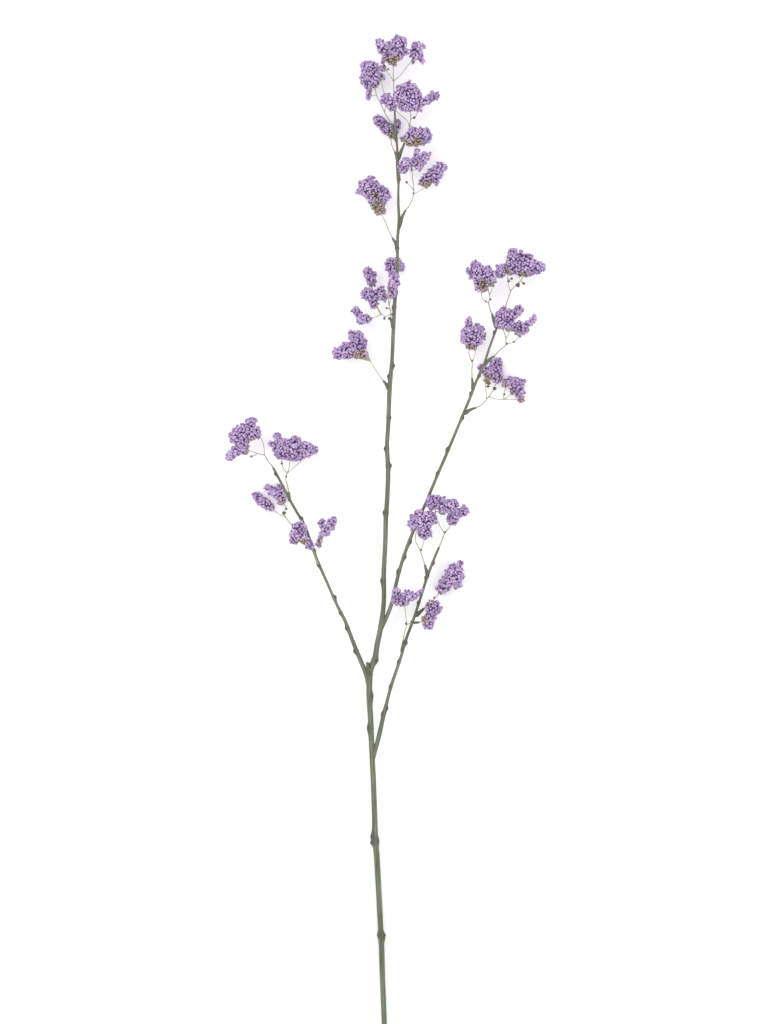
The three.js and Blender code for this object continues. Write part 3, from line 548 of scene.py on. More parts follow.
def crosswise(along, aside=ASIDE):
    """Two directions square to an axis: across = along x aside, made one long, and up = across x along."""
    across = unit(np.cross(along, aside))
    return across, np.cross(across, along)


def smooth_path(points, step):
    """Points a step apart on a smooth curve through the given ones, and how far along each is.

    Each span is the cubic p(u) = (2u3-3u2+1) a + (u3-2u2+u) h m + (3u2-2u3) b + (u3-u2) h n, from a to b
    over its length h. The slopes m and n at a point are its two spans' slopes, each weighted by the
    other's length, and an end has the slope of its one span.
    """
    points = np.asarray(points, float)
    spans = np.linalg.norm(np.diff(points[:, :3], axis=0), axis=1)
    slopes = np.diff(points, axis=0) / spans[:, None]
    before, after = spans[:-1, None], spans[1:, None]
    inner = (after * slopes[:-1] + before * slopes[1:]) / (before + after)
    tangents = np.vstack([slopes[:1], inner, slopes[-1:]])
    starts = np.concatenate([[0], np.cumsum(spans)])
    along = np.linspace(0, starts[-1], max(int(starts[-1] / step), 2) + 1)
    span = np.clip(np.searchsorted(starts, along, side="right") - 1, 0, len(spans) - 1)
    h = spans[span][:, None]
    u = (along - starts[span])[:, None] / h
    curve = (2 * u**3 - 3 * u**2 + 1) * points[span] + (u**3 - 2 * u**2 + u) * h * tangents[span]
    curve += (3 * u**2 - 2 * u**3) * points[span + 1] + (u**3 - u**2) * h * tangents[span + 1]
    return curve, along


def swept(centres, across, up, radii, start, end):
    """Closed skins swept along their axes, many at once.

    A skin's point on ring i at angle a is centre_i + radius_ia (cos a across + sin a up), and a pole
    point closes either end. centres is (skins, rings, 3), across and up (skins, rings or 1, 3), radii
    (skins, rings, sides), and start and end (skins, 3). across x along is up, so the faces point out.
    """
    skins, rings, sides = radii.shape
    angles = turns(sides)
    outward = across[:, :, None] * np.cos(angles)[:, None] + up[:, :, None] * np.sin(angles)[:, None]
    points = centres[:, :, None] + radii[..., None] * outward
    points = np.concatenate([points.reshape(skins, -1, 3), start[:, None], end[:, None]], axis=1)
    i, j = np.meshgrid(np.arange(rings - 1), np.arange(sides), indexing="ij")
    after = (j + 1) % sides
    ring, above = i * sides, (i + 1) * sides
    quads = np.stack([ring + j, above + j, above + after, ring + after], axis=-1)
    side, beside = j[0], after[0]
    last = (rings - 1) * sides
    pole = np.full(sides, rings * sides)
    tris = np.concatenate([
        np.stack([pole, side, beside], axis=-1),
        np.stack([pole + 1, last + beside, last + side], axis=-1),
    ])
    shift = (np.arange(skins) * points.shape[1])[:, None, None]
    return {
        "points": points.reshape(-1, 3),
        "quads": (quads.reshape(-1, 4) + shift).reshape(-1, 4),
        "tris": (tris + shift).reshape(-1, 3),
    }


def joined(skins):
    """One skin of several, each one's faces counted on from the points before it."""
    starts = np.cumsum([0] + [len(skin["points"]) for skin in skins[:-1]])
    whole = {key: np.concatenate([skin[key] for skin in skins]) for key in ("points", "paint", "grain")}
    for key in ("quads", "tris"):
        whole[key] = np.concatenate([skin[key] + start for skin, start in zip(skins, starts)])
    return whole


def placed(name, data):
    """A new object of some data, in the scene."""
    made = bpy.data.objects.new(name, data)
    bpy.context.scene.collection.objects.link(made)
    return made


def piece(name, skins, material, slot, *nodes):
    """A finished piece of skins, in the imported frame, that stands for some of its nodes."""
    whole = joined(skins)
    points = (whole["points"] - ORIGIN) * MM
    mesh = bpy.data.meshes.new(name)
    mesh.from_pydata(points.tolist(), [], whole["quads"].tolist() + whole["tris"].tolist())
    mesh.polygons.foreach_set("use_smooth", np.ones(len(mesh.polygons), bool))
    paint = mesh.attributes.new("paint", "FLOAT_COLOR", "POINT")
    paint.data.foreach_set("color", whole["paint"].astype(np.float32).ravel())
    grain = mesh.attributes.new("grain", "FLOAT_VECTOR", "POINT")
    grain.data.foreach_set("vector", (whole["grain"] * MM).astype(np.float32).ravel())
    mesh.materials.append(material)
    mesh.update()
    made = placed(name, mesh)
    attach(made, "root")
    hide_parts(*nodes)


# Rods: stalks, pegs, twigs and the strands under the florets
def rod(path, sides, swell=None):
    """A round rod along a smooth curve through [x, y, z, diameter], with its own frame at each ring.

    across = along x z and up = across x along, and the radius is diameter / 2 plus swell(length, angle).
    Its grain is (r cos a, r sin a, length), so that a pattern follows the rod round and along. A point
    that would be under the table is on it instead.
    """
    curve, length = smooth_path(path, RING_STEP)
    centres, radius = curve[:, :3], curve[:, 3:] / 2
    across, up = crosswise(unit(np.gradient(centres, axis=0)), UPWARD)
    angles = turns(sides)
    radii = np.repeat(radius, sides, axis=1)
    if swell is not None:
        radii = radii + swell(length[:, None], angles[None])
    skin = swept(centres[None], across[None], up[None], radii[None], centres[:1], centres[-1:])
    wide = np.stack([
        radii * np.cos(angles), radii * np.sin(angles), np.repeat(length[:, None], sides, axis=1),
    ], axis=-1)
    skin["grain"] = np.concatenate([wide.reshape(-1, 3), [[0, 0, 0], [0, 0, length[-1]]]])
    skin["paint"] = np.zeros((len(skin["points"]), 4))
    skin["points"][:, 2] = np.maximum(skin["points"][:, 2], 0)
    return skin


def scar_places(scars, path):
    """The length along each ring of a stalk, and where on that length each of its scars is."""
    curve, length = smooth_path(path, RING_STEP)
    return length, [np.interp(scar[0], curve[:, 1], length) for scar in scars]


def scar_swell(scars, path, rng):
    """Bud scars: each adds height exp(-(d / half length)^2) cos(a + SCAR_TURN side)^3 on its side.

    d counts SCAR_STEEPNESS times towards the tip, so that a scar is steeper there, and a ring of
    SCAR_RING exp(-(d / SCAR_RING_REACH)^2) runs round the stalk, with d in millimetres. Slow waves of the
    length and the angle, WAVE_HEIGHT times two sines, keep the stalk from being a perfect cone.
    """
    phases = rng.uniform(0, 2 * np.pi, 3)
    _, middles = scar_places(scars, path)

    def swell(length, angle):
        waves = np.sin(length / WAVE_LENGTHS[0] + phases[0] + 2 * np.cos(angle))
        rise = WAVE_HEIGHT * (waves + np.sin(length / WAVE_LENGTHS[1] + phases[1] + angle))
        for (_, side, reach, height), middle in zip(scars, middles):
            away = (length - middle) / (reach / 2)
            away = np.where(away > 0, SCAR_STEEPNESS * away, away)
            facing = np.clip(side * np.cos(angle + SCAR_TURN * side), 0, 1)
            rise = rise + height * np.exp(-(away**2)) * facing**3
            rise = rise + SCAR_RING * np.exp(-(((length - middle) / SCAR_RING_REACH) ** 2))
        return rise

    return swell


def scar_paint(scars, path):
    """The scars' stains at a stalk's points: exp(-(d / (STAIN_SHARE length))^2) (STAIN_WIDTH + side cos a).

    The last factor is held between 0 and 1, and the darkest stain counts where two meet.
    """
    length, middles = scar_places(scars, path)
    mark = np.zeros((len(length), STALK_SIDES))
    for (_, side, reach, _), middle in zip(scars, middles):
        near = np.exp(-(((length - middle) / (STAIN_SHARE * reach)) ** 2))[:, None]
        mark = np.maximum(mark, near * np.clip(STAIN_WIDTH + side * np.cos(turns(STALK_SIDES)), 0, 1))
    return mark.ravel()


def make_stem():
    """The stalks with their scars, and the pegs. Paint: height up the sprig, scar, peg, cut pith."""
    rng = np.random.default_rng(SEED)
    skins = []
    for name, path in STALKS.items():
        skin = rod(path, STALK_SIDES, scar_swell(SCARS[name], path, rng))
        skin["paint"][:-2, 1] = scar_paint(SCARS[name], path)
        if name == "main":
            skin["paint"][-2, 3] = 1
        skins.append(skin)
    for path in PEGS:
        skin = rod(path, PEG_SIDES, peg_swell)
        skin["paint"][:, 2] = 1
        skins.append(skin)
    for skin in skins:
        skin["paint"][:, 0] = skin["points"][:, 1] / SPRIG_LENGTH
    piece("branches", skins, bark_material(), "stem", "stem")


def peg_swell(length, angle):
    """A peg's swelling, with l = length / PEG_BELLY: PEG_FLARE l exp(1 - l) less PEG_WAIST exp(-length).

    Low ridges PEG_RIDGE sin(3a + length) run round it.
    """
    flare = PEG_FLARE * length / PEG_BELLY * np.exp(1 - length / PEG_BELLY) - PEG_WAIST * np.exp(-length)
    return flare + PEG_RIDGE * np.sin(3 * angle + length)


def twig_swell(length, angle):
    """A knot KNOT_RISE exp(-(length / KNOT_LENGTH)^2) where a twig forks off, the same at every angle.

    Once in each JOINT_SPACING, at JOINT_PLACE, a low joint JOINT_RISE exp(-d^2) runs round it.
    """
    joints = JOINT_RISE * np.exp(-(((length % JOINT_SPACING) - JOINT_PLACE) ** 2))
    return KNOT_RISE * np.exp(-((length / KNOT_LENGTH) ** 2)) + joints


def tapered(points, root, tip):
    """Points [x, y, z] with a diameter that falls evenly from root to tip."""
    points = np.asarray(points, float)
    return np.column_stack([points, np.linspace(root, tip, len(points))])


def nearest_on(paths, place):
    """The point of the given curves that is nearest to a place."""
    points = np.vstack([smooth_path(path, SEARCH_STEP)[0] for path in paths])
    return points[np.argmin(np.linalg.norm(points - place, axis=1))]


def buds_on(paths, buds, rng):
    """Buds [x, y, z, size] on thin stalks from the nearest twig, each an egg of rings along its axis.

    The first ring is at the twig, with radius BUD_STALK. The egg's rings stand at height + the stalk's
    length, each with five low ridges where its scales overlap: radius (1 + BUD_RIDGE cos 5a).
    """
    places = np.array([bud[:3] for bud in buds], float)
    sizes = np.array([bud[3] for bud in buds], float)
    roots = np.array([nearest_on(paths, place) for place in places])
    lengths = np.maximum(np.linalg.norm(places - roots, axis=1), BUD_STALK_LEAST)
    along = unit(places - roots + rng.normal(0, BUD_LEAN, places.shape) + [0, 0, BUD_LIFT])
    across, up = crosswise(along)
    heights = np.maximum(lengths[:, None] + sizes[:, None] * BUD_EGG[:, 0], BUD_RING_LOWEST)
    heights = np.maximum.accumulate(np.column_stack([np.zeros(len(buds)), heights]), axis=1)
    radii = np.column_stack([np.full(len(buds), BUD_STALK), sizes[:, None] * BUD_EGG[:, 1]])
    radii = radii[..., None] * (1 + BUD_RIDGE * np.cos(PETALS * turns(FLORET_SIDES)))
    centres = roots[:, None] + heights[..., None] * along[:, None]
    tips = roots + (lengths + BUD_TIP * sizes)[:, None] * along
    skin = swept(centres, across[:, None], up[:, None], radii, roots, tips)
    rings = len(BUD_EGG) + 1
    tone = np.repeat([0, *np.linspace(BUD_FOOT_TONE, 1, rings - 1)], FLORET_SIDES)
    tint = np.repeat(rng.uniform(0, 1, len(buds)), rings * FLORET_SIDES + 2)
    skin["paint"] = np.column_stack([
        np.tile([*tone, 0, 1], len(buds)), tint, np.ones(len(tint)), np.zeros(len(tint)),
    ])
    skin["grain"] = skin["points"].copy()
    return skin


def thin_strand(root, bend, end, tip):
    """A hair-thin rod from root to end through a bend, with a diameter of tip at its end."""
    return rod(tapered([root, bend, end], STRAND_ROOT, tip), STRAND_SIDES)


def strands_to(heads, paths):
    """Thin stalks from the nearest twig into each lobe of florets, three in a long lobe and else two.

    They end evenly along its axis, and each one's middle is raised by STRAND_RISE times its length.
    """
    skins = []
    for lobes in heads:
        for middle, direction, width, length in zip(*lobe_shapes(lobes)):
            reach = max(length - width, 0)
            for share in np.linspace(-1, 1, 3 if reach > LONG_LOBE else 2):
                end = middle + direction * reach * share
                root = nearest_on(paths, end)
                if np.linalg.norm(end - root) < STRAND_LEAST:
                    continue
                bend = (root + end) / 2 + [0, 0, STRAND_RISE * np.linalg.norm(end - root)]
                skins.append(thin_strand(root, bend, end, STRAND_TIP))
    return skins


def fans_at(spots, heads, paths, rng):
    """Short pale strands that spread from the nearest twig into each dry spot, and end inside a lobe.

    Their ends are drawn round a place FAN_RISE reaches above the spot, FAN_SPREAD reaches apart.
    """
    skins = []
    lobes = [lobe for head in heads for lobe in head]
    for *middle, reach in spots:
        ends = middle + rng.normal(0, FAN_SPREAD * reach, (FAN_STRANDS, 3)) + [0, 0, FAN_RISE * reach]
        for end in ends[depths_in(ends, lobes, FLORET_HEIGHT).min(axis=1) < 1]:
            root = nearest_on(paths, end)
            if np.linalg.norm(end - root) < FAN_LEAST:
                continue
            bend = (root + end) / 2 + rng.normal(0, FAN_BEND, 3)
            skins.append(thin_strand(root, bend, end, STRAND_ROOT))
    return skins


def make_twigs(name, paths, material, rng):
    """A spray's forked twigs, its buds and the strands to its florets.

    Paint: how far up a bud, tint, bud, strand.
    """
    skins = []
    for i, points in enumerate(paths):
        skin = rod(tapered(points, TWIG_TIP if i else TWIG_ROOT, TWIG_TIP), TWIG_SIDES, twig_swell)
        skin["paint"][:, 1] = rng.uniform()
        skins.append(skin)
    if name in BUDS:
        skins.append(buds_on(paths, BUDS[name], rng))
    strands = strands_to(HEADS[name], paths) + fans_at(DRY_SPOTS[name], HEADS[name], paths, rng)
    for skin in strands:
        skin["paint"][:, 1] = rng.uniform()
        skin["paint"][:, 3] = 1
    piece(f"twiglets_{name}", skins + strands, material, "twig", f"twigs_{name}")


# Florets
def lobe_shapes(lobes):
    """Each lobe's centre, axis, half width and half length, from its two ends or its one middle."""
    starts = np.array([lobe[:3] for lobe in lobes], float)
    ends = np.array([lobe[:-1][-3:] for lobe in lobes], float)
    half_width = np.array([lobe[-1] for lobe in lobes]) / 2
    lengths = np.linalg.norm(ends - starts, axis=1)
    axis = np.where(lengths[:, None] > 0, unit(ends - starts), [0, 1, 0])
    return (starts + ends) / 2, axis, half_width, np.maximum(lengths / 2, half_width)


def depths_in(places, lobes, margin):
    """(d / half_width)^2 + (a / half_length)^4 of each place in each lobe less a margin: 1 is its skin."""
    centre, axis, half_width, half_length = lobe_shapes(lobes)
    offset = places[:, None] - centre
    ahead = (offset * axis).sum(-1)
    apart = np.linalg.norm(offset - ahead[..., None] * axis, axis=-1)
    inner_width = np.maximum(half_width - margin, LOBE_LEAST)
    inner_length = np.maximum(half_length - margin, LOBE_LEAST)
    return (apart / inner_width) ** 2 + (ahead / inner_length) ** 4


def spindle_spiral(half_width, half_length):
    """Places on a blunt spindle, r = half_width sqrt(1 - s^4), that each have the same area round them.

    The area from its end to share s is summed ring by ring, and read back at even steps, and each
    place is turned from the last by the golden angle. Returns the shares s and the angles.
    """
    s = np.cos(np.linspace(0, np.pi, SPINDLE_STEPS))
    r = half_width * np.sqrt(1 - s**4)
    bands = np.pi * (r[1:] + r[:-1]) * np.hypot(np.diff(r), half_length * np.diff(s))
    area = np.concatenate([[0], np.cumsum(bands)])
    count = max(int(area[-1] / (CELL_SHARE * FLORET_SPACING**2)), FLORETS_LEAST)
    steps = np.arange(count)
    return np.interp((steps + 0.5) / count * area[-1], area, s), steps * GOLDEN_ANGLE


def knobs(places, rng):
    """Slow random hills and clefts: waves sin(k . place + phase), summed and scaled to a spread of one.

    Each k points at random and is 2 pi / KNOB_SIZE long, times a share in KNOB_RANGE.
    """
    waves = unit(rng.normal(0, 1, (KNOB_WAVES, 3))) * rng.uniform(*KNOB_RANGE, (KNOB_WAVES, 1))
    waves = waves * 2 * np.pi / KNOB_SIZE
    hills = np.sin(places @ waves.T + rng.uniform(0, 2 * np.pi, KNOB_WAVES)).sum(axis=1)
    return hills / np.sqrt(KNOB_WAVES / 2)


def floret_places(lobes, rng):
    """Where the florets of a head stand, and the way each faces.

    The way out of the spindle F = (d / half_width)^2 + (a / half_length)^4 - 1 is its gradient. A floret
    that is buried in another lobe, deeper than BURIED_DEPTH, is dropped. The others stand a little in or
    out of the spindle, by slow hills and clefts, and the strays stand out well.
    """
    centre, axis, half_width, half_length = lobe_shapes(lobes)
    places, facings = [], []
    for k in range(len(lobes)):
        s, angle = spindle_spiral(half_width[k], half_length[k])
        across, up = crosswise(axis[k])
        side = np.cos(angle)[:, None] * across + np.sin(angle)[:, None] * up
        r = half_width[k] * np.sqrt(1 - s**4)
        place = centre[k] + r[:, None] * side + (half_length[k] * s)[:, None] * axis[k]
        slope = (r / half_width[k] ** 2)[:, None] * side + (2 * s**3 / half_length[k])[:, None] * axis[k]
        depth = depths_in(place, lobes, BURIED_DEPTH)
        depth[:, k] = 2
        open_air = depth.min(axis=1) > 1
        places.append(place[open_air])
        facings.append(unit(slope)[open_air])
    places, facings = np.vstack(places), np.vstack(facings)
    lift = KNOB_RISE * knobs(places, rng) + rng.normal(0, LIFT_SPREAD, len(places)) - LIFT_SINK
    strays = rng.uniform(0, 1, len(places)) < STRAY_SHARE
    lift = np.where(strays, rng.uniform(*STRAY_LIFT, len(places)), lift)
    lift = np.maximum(lift, LIFT_LOWEST)
    slide = rng.normal(0, SLIDE_SPREAD, places.shape)
    slide -= (slide * facings).sum(axis=1, keepdims=True) * facings
    return places + slide + facings * lift[:, None], facings


def grow_florets(places, facings, calyx, rng):
    """The florets: each a small puffed cup with five petals on a thin foot, closed buds among them.

    Ring i of a floret has radius R_i (1 + L_i cos 5a) at height H_i along its facing, and each of R, L
    and H is a bud's value plus its openness times the change to an open floret's value. Dry ones are
    more closed and smaller. Paint: place from foot to rim, which sets painted shade low in the floret
    and painted light at its rim, tint, calyx, and brightness, which is low for florets in painted shade.
    """
    count = len(places)
    openness = rng.normal(OPENNESS, OPENNESS_SPREAD, count) - DRY_CLOSING * calyx
    openness = np.clip(openness, OPENNESS_LEAST, 1)[:, None]
    size = rng.uniform(*FLORET_SIZES, count)[:, None] * (1 - DRY_SHRINKING * calyx[:, None])
    heights = size * (BUD_HEIGHTS + openness * (OPEN_HEIGHTS - BUD_HEIGHTS))
    radii = size * (BUD_RADII + openness * (OPEN_RADII - BUD_RADII))
    lobing = openness * OPEN_LOBES
    radii = radii[..., None] * (1 + lobing[..., None] * np.cos(PETALS * turns(FLORET_SIDES)))
    facing = unit(facings + rng.normal(0, FACING_SPREAD, facings.shape))
    spin = rng.uniform(0, 2 * np.pi, count)[:, None]
    flat = unit(np.cross(facing, unit(rng.normal(0, 1, facings.shape))))
    across = np.cos(spin) * flat + np.sin(spin) * np.cross(facing, flat)
    up = np.cross(across, facing)
    seat = places - FLORET_HEIGHT * facing
    centres = seat[:, None] + heights[..., None] * facing[:, None]
    middle = size * (BUD_MIDDLE + openness * (OPEN_MIDDLE - BUD_MIDDLE))
    skin = swept(centres, across[:, None], up[:, None], radii, centres[:, 0], seat + middle * facing)
    # The tone from foot to rim: painted shade low in each floret, painted light at its rim and middle.
    rim = [*np.repeat(RING_SHADING, FLORET_SIDES), 0, MIDDLE_SHADING]
    # Painted shade: a random share of the florets is darker, as if sunk in shade among the others.
    dark = rng.uniform(0, 1, count) < SHADED_SHARE
    bright = np.where(dark, rng.uniform(*SHADED_TONES, count), rng.uniform(*LIT_TONES, count))
    tint = rng.uniform(0, 1, count)
    same = np.repeat(np.column_stack([tint, calyx, bright]), len(rim), axis=0)
    skin["paint"] = np.column_stack([np.tile(rim, count), same])
    return skin


def grow_shade_cores(lobes):
    """The dark middle of each lobe, painted shade for the gaps between florets: the same spindle,
    r = w sqrt(1 - s^4), a little smaller.

    Its rings are at s = sin t, with t from -CORE_END pi to CORE_END pi in even steps.
    """
    centre, axis, half_width, half_length = lobe_shapes(lobes)
    width = np.maximum(half_width - CORE_DEPTH, CORE_SHARE * half_width)
    length = np.maximum(half_length - CORE_DEPTH, CORE_SHARE * half_length)
    s = np.sin(np.linspace(-CORE_END * np.pi, CORE_END * np.pi, CORE_RINGS))
    across, up = crosswise(axis)
    centres = centre[:, None] + (length[:, None] * s)[..., None] * axis[:, None]
    radii = np.repeat((width[:, None] * np.sqrt(1 - s**4))[..., None], CORE_SIDES, axis=2)
    ends = length[:, None] * axis
    skin = swept(centres, across[:, None], up[:, None], radii, centre - ends, centre + ends)
    skin["paint"] = np.zeros((len(skin["points"]), 4))
    return skin


def calyx_shares(places, spots, roots):
    """How much dry calyx shows: the highest of the falloffs exp(-(d / reach)^2) round spots and twigs."""
    spots = np.array([*spots, *[[*root, TWIG_DRY_REACH] for root in roots]], float)
    apart = np.linalg.norm(places[:, None] - spots[:, :3], axis=-1)
    return np.exp(-((apart / spots[:, 3]) ** 2)).max(axis=1)


def make_head(name, lobes, spots, roots, material, rng):
    """A head: its florets over its dark cores of painted shade, whose paint is all 0 except the calyx."""
    places, facings = floret_places(lobes, rng)
    calyx = calyx_shares(places, spots, roots)
    cores = grow_shade_cores(lobes)
    cores["paint"][:, 2] = calyx_shares(cores["points"], spots, roots)
    skins = [grow_florets(places, facings, calyx, rng), cores]
    for skin in skins:
        skin["grain"] = skin["points"].copy()
        skin["points"][:, 2] = np.maximum(skin["points"][:, 2], TABLE_GAP)
    piece(f"blooms_{name}", skins, material, "floret", f"head_{name}")


# Materials
def new_material(name):
    """A new material's two helpers: add makes a node with its settings and inputs, finish fills the shader.

    An input is named with _ for each blank, or is _ and its number.
    """
    material = bpy.data.materials.new(name)
    material.use_nodes = True
    tree = material.node_tree

    def fill(node, inputs):
        for key, value in inputs.items():
            socket = node.inputs[int(key[1:])] if key[0] == "_" else node.inputs[key.replace("_", " ")]
            if isinstance(value, bpy.types.NodeSocket):
                tree.links.new(value, socket)
            else:
                socket.default_value = value

    def add(kind, settings=None, **inputs):
        node = tree.nodes.new(kind)
        for key, value in (settings or {}).items():
            setattr(node, key, value)
        fill(node, inputs)
        return node

    def finish(**inputs):
        fill(tree.nodes["Principled BSDF"], inputs)
        return material

    return add, finish


def ramp(add, factor, stops):
    """A colour ramp of (place, (r, g, b)) stops."""
    node = add("ShaderNodeValToRGB", Fac=factor)
    elements = node.color_ramp.elements
    while len(elements) < len(stops):
        elements.new(0.5)
    for element, (place, colour) in zip(elements, stops):
        element.position = place
        element.color = (*colour, 1)
    return node.outputs["Color"]


def blended(add, factor, below, above, how="MIX"):
    """Two colours blended by a factor."""
    node = add("ShaderNodeMix", {"data_type": "RGBA", "blend_type": how}, _0=factor, _6=below, _7=above)
    return node.outputs[2]


def noise_of(add, place, scale, detail):
    """Noise of a place, as a number near 0.5."""
    return add("ShaderNodeTexNoise", Vector=place, Scale=scale, Detail=detail).outputs["Fac"]


def paint_of(add):
    """The four numbers of the paint attribute."""
    source = add("ShaderNodeAttribute", {"attribute_name": "paint"})
    parts = add("ShaderNodeSeparateColor", Color=source.outputs["Color"])
    return (*parts.outputs[:3], source.outputs["Alpha"])


def grain_of(add, squeeze):
    """The grain attribute, squeezed along the rod so that its marks are long streaks."""
    source = add("ShaderNodeAttribute", {"attribute_name": "grain"})
    return add("ShaderNodeMapping", Vector=source.outputs["Vector"], Scale=(1, 1, squeeze)).outputs["Vector"]


def relief(add, height, depth):
    """The normals of a small relief by a height pattern, this many metres deep."""
    return add("ShaderNodeBump", Height=height, Distance=depth, Strength=RELIEF).outputs["Normal"]


def bark_material():
    """Grey-green bark with long pale streaks, brown scars, darker pegs and a pale cut end."""
    add, finish = new_material("grey-green bark")
    height, scar, peg, pith = paint_of(add)
    streaks = noise_of(add, grain_of(add, 0.05), 900, 3)
    bark = ramp(add, streaks, [
        (0.3, (0.065, 0.09, 0.05)), (0.5, (0.115, 0.15, 0.09)), (0.72, (0.21, 0.245, 0.165)),
    ])
    top = ramp(add, streaks, [
        (0.3, (0.095, 0.09, 0.068)), (0.5, (0.155, 0.15, 0.115)), (0.72, (0.26, 0.25, 0.20)),
    ])
    patches = noise_of(add, grain_of(add, 0.3), 160, 2)
    bark = blended(add, height, bark, top)
    warm = ramp(add, patches, [(0.45, (1, 1, 1)), (0.75, (0.92, 0.80, 0.62))])
    bark = blended(add, 1.0, bark, warm, "MULTIPLY")
    bark = blended(add, peg, bark, blended(add, 0.65, bark, (0.085, 0.105, 0.05, 1)))
    bark = blended(add, scar, bark, blended(add, 0.7, bark, (0.055, 0.05, 0.028, 1)))
    bark = blended(add, pith, bark, (0.55, 0.52, 0.34, 1))
    fibres = noise_of(add, grain_of(add, 0.03), 2600, 4)
    return finish(Base_Color=bark, Roughness=0.62, Normal=relief(add, fibres, 0.0003))


def twig_material():
    """Pale yellow-green twigs, olive buds, and paler strands under the florets."""
    add, finish = new_material("pale green twig")
    along, tint, bud, strand = paint_of(add)
    streaks = noise_of(add, grain_of(add, 0.12), 1100, 2)
    green = ramp(add, streaks, [
        (0.3, (0.24, 0.26, 0.14)), (0.55, (0.37, 0.385, 0.235)), (0.8, (0.52, 0.53, 0.37)),
    ])
    dry = blended(add, tint, green, blended(add, 0.25, green, (0.42, 0.33, 0.16, 1)))
    dry = blended(add, strand, dry, blended(add, 0.6, dry, (0.47, 0.42, 0.21, 1)))
    scales = ramp(add, along, [
        (0.0, (0.30, 0.32, 0.14)), (0.5, (0.13, 0.15, 0.065)), (1.0, (0.10, 0.085, 0.06)),
    ])
    colour = blended(add, bud, dry, scales)
    return finish(Base_Color=colour, Roughness=0.58, Normal=relief(add, streaks, 0.00015))


def floret_material():
    """Lilac florets, deeper purple and painted shade towards the foot, each a little different, olive where
    dry.
    """
    add, finish = new_material("lilac floret")
    rim, tint, calyx, bright = paint_of(add)
    place = add("ShaderNodeTexCoord").outputs["Object"]
    # From foot (0) to rim (1): the deeper purple low in the cup is partly the floret's own colour and partly
    # painted shade where it sinks among the others, and the pale rim is painted light.
    cool = ramp(add, rim, [
        (0.0, (0.22, 0.135, 0.32)), (0.3, (0.30, 0.19, 0.42)), (0.65, (0.43, 0.30, 0.57)),
        (1.0, (0.61, 0.475, 0.75)),
    ])
    warm = ramp(add, rim, [
        (0.0, (0.24, 0.13, 0.28)), (0.3, (0.33, 0.195, 0.38)), (0.65, (0.48, 0.32, 0.54)),
        (1.0, (0.67, 0.515, 0.73)),
    ])
    colour = blended(add, tint, cool, warm)
    patches = noise_of(add, place, 90, 3)
    shade = ramp(add, patches, [(0.35, (0.78, 0.72, 0.8)), (0.6, (1.05, 1.05, 1.05))])
    colour = blended(add, 1.0, colour, shade, "MULTIPLY")
    speckle = ramp(add, noise_of(add, place, 1400, 2), [(0.3, (0.85, 0.84, 0.87)), (0.7, (1.1, 1.1, 1.1))])
    colour = blended(add, 1.0, colour, speckle, "MULTIPLY")
    # Painted shade: dark purple cells, as of florets sunk in shade, fill the cores and darken the shaded
    # florets.
    cells = add("ShaderNodeTexVoronoi", Vector=place, Scale=340).outputs["Distance"]
    deep = ramp(add, cells, [
        (0.1, (0.34, 0.22, 0.47)), (0.45, (0.23, 0.14, 0.34)), (0.7, (0.125, 0.075, 0.20)),
    ])
    colour = blended(add, bright, deep, colour)
    # The olive of the dry calyx, also painted darker towards the foot as shade.
    olive = ramp(add, rim, [
        (0.0, (0.12, 0.10, 0.04)), (0.5, (0.26, 0.22, 0.10)), (1.0, (0.39, 0.32, 0.19)),
    ])
    share = add("ShaderNodeMapRange", Value=calyx, _1=0.2, _2=0.75, _3=0.0, _4=0.9).outputs["Result"]
    colour = blended(add, share, colour, olive)
    grit = relief(add, noise_of(add, place, 2200, 2), 0.0002)
    return finish(Base_Color=colour, Roughness=0.75, Normal=grit)


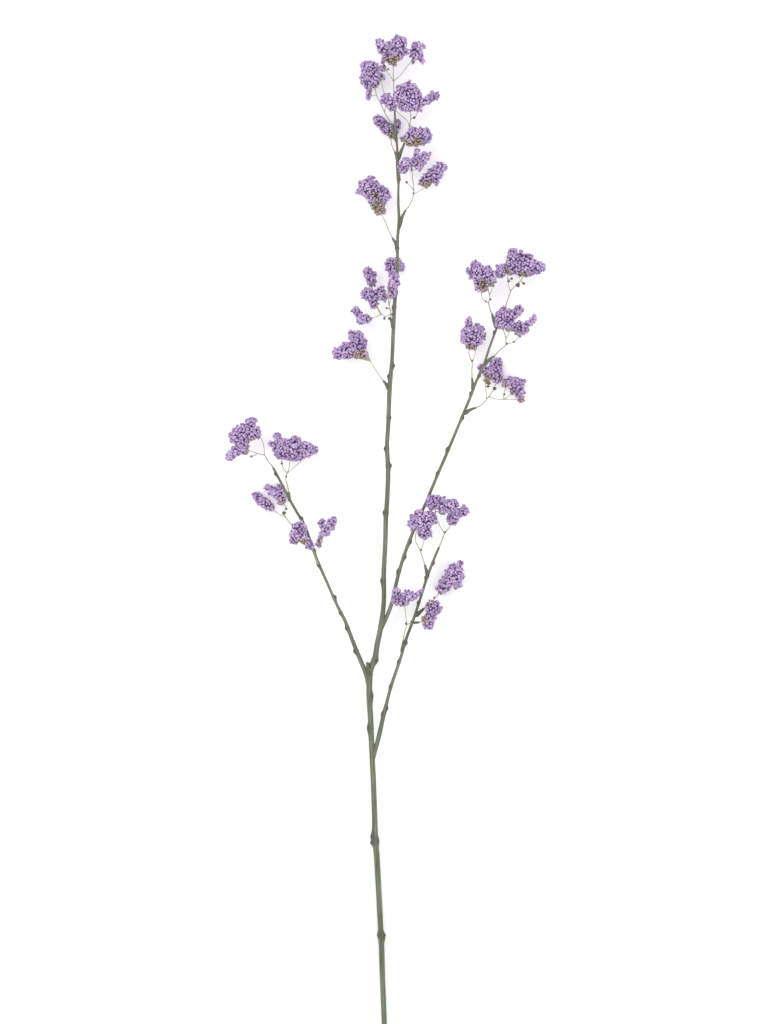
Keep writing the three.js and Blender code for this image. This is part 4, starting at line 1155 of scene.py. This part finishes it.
# Setting
def make_floor():
    """A plain white light table, flat at z = 0, so wide that its edge shows in no view."""
    add, finish = new_material("white table")
    place = add("ShaderNodeTexCoord").outputs["Object"]
    tone = ramp(add, noise_of(add, place, 3, 2), [(0.3, (0.86, 0.86, 0.86)), (0.7, (0.88, 0.88, 0.88))])
    glow = {"Emission_Color": (1, 1, 1, 1), "Emission_Strength": FLOOR_GLOW}
    mesh = bpy.data.meshes.new("table_top")
    corners = FLOOR_REACH * np.array([[-1, -1, 0], [1, -1, 0], [1, 1, 0], [-1, 1, 0]])
    mesh.from_pydata(corners.tolist(), [], [(0, 1, 2, 3)])
    mesh.materials.append(finish(Base_Color=tone, Roughness=0.9, Specular_IOR_Level=0.1, **glow))
    placed("table_top", mesh)


def make_lamp(name, place, power):
    """A square soft lamp that points at the sprig."""
    light = bpy.data.lights.new(name, "AREA")
    light.size = LAMP_SIZE
    light.energy = power
    lamp = placed(name, light)
    lamp.location = place
    lamp.rotation_mode = "QUATERNION"
    lamp.rotation_quaternion = (-lamp.location).to_track_quat("-Z", "Y")


def make_light():
    """Soft white light from all round, with two large lamps for a little shape."""
    world = bpy.data.worlds.new("white studio")
    world.use_nodes = True
    background = world.node_tree.nodes["Background"]
    background.inputs["Color"].default_value = (1, 1, 1, 1)
    background.inputs["Strength"].default_value = SKY_STRENGTH
    bpy.context.scene.world = world
    for name, (place, power) in LAMPS.items():
        make_lamp(name, place, power)
    bpy.context.scene.view_settings.view_transform = "Standard"


def make_camera():
    """A long lens high above the table, looking straight down, with the tip of the sprig up."""
    camera = bpy.data.cameras.new("camera")
    camera.sensor_width = SENSOR
    camera.lens = SENSOR * CAMERA_HEIGHT / PHOTO_HEIGHT
    camera.clip_end = 100
    held = placed("camera", camera)
    held.location = (np.array([*PHOTO_MIDDLE, CAMERA_HEIGHT]) - ORIGIN) * MM
    bpy.context.scene.camera = held


def main():
    """Makes the setting and every piece of the sprig."""
    make_camera()
    make_floor()
    make_light()
    make_stem()
    twigs, florets = twig_material(), floret_material()
    rng = np.random.default_rng(SEED)
    for name, paths in TWIGS.items():
        make_twigs(name, paths, twigs, rng)
        roots = [path[-1] for path in paths]
        for letter, lobes in zip("abcde", HEADS[name]):
            make_head(f"{name}{letter}", lobes, DRY_SPOTS[name], roots, florets, rng)


main()
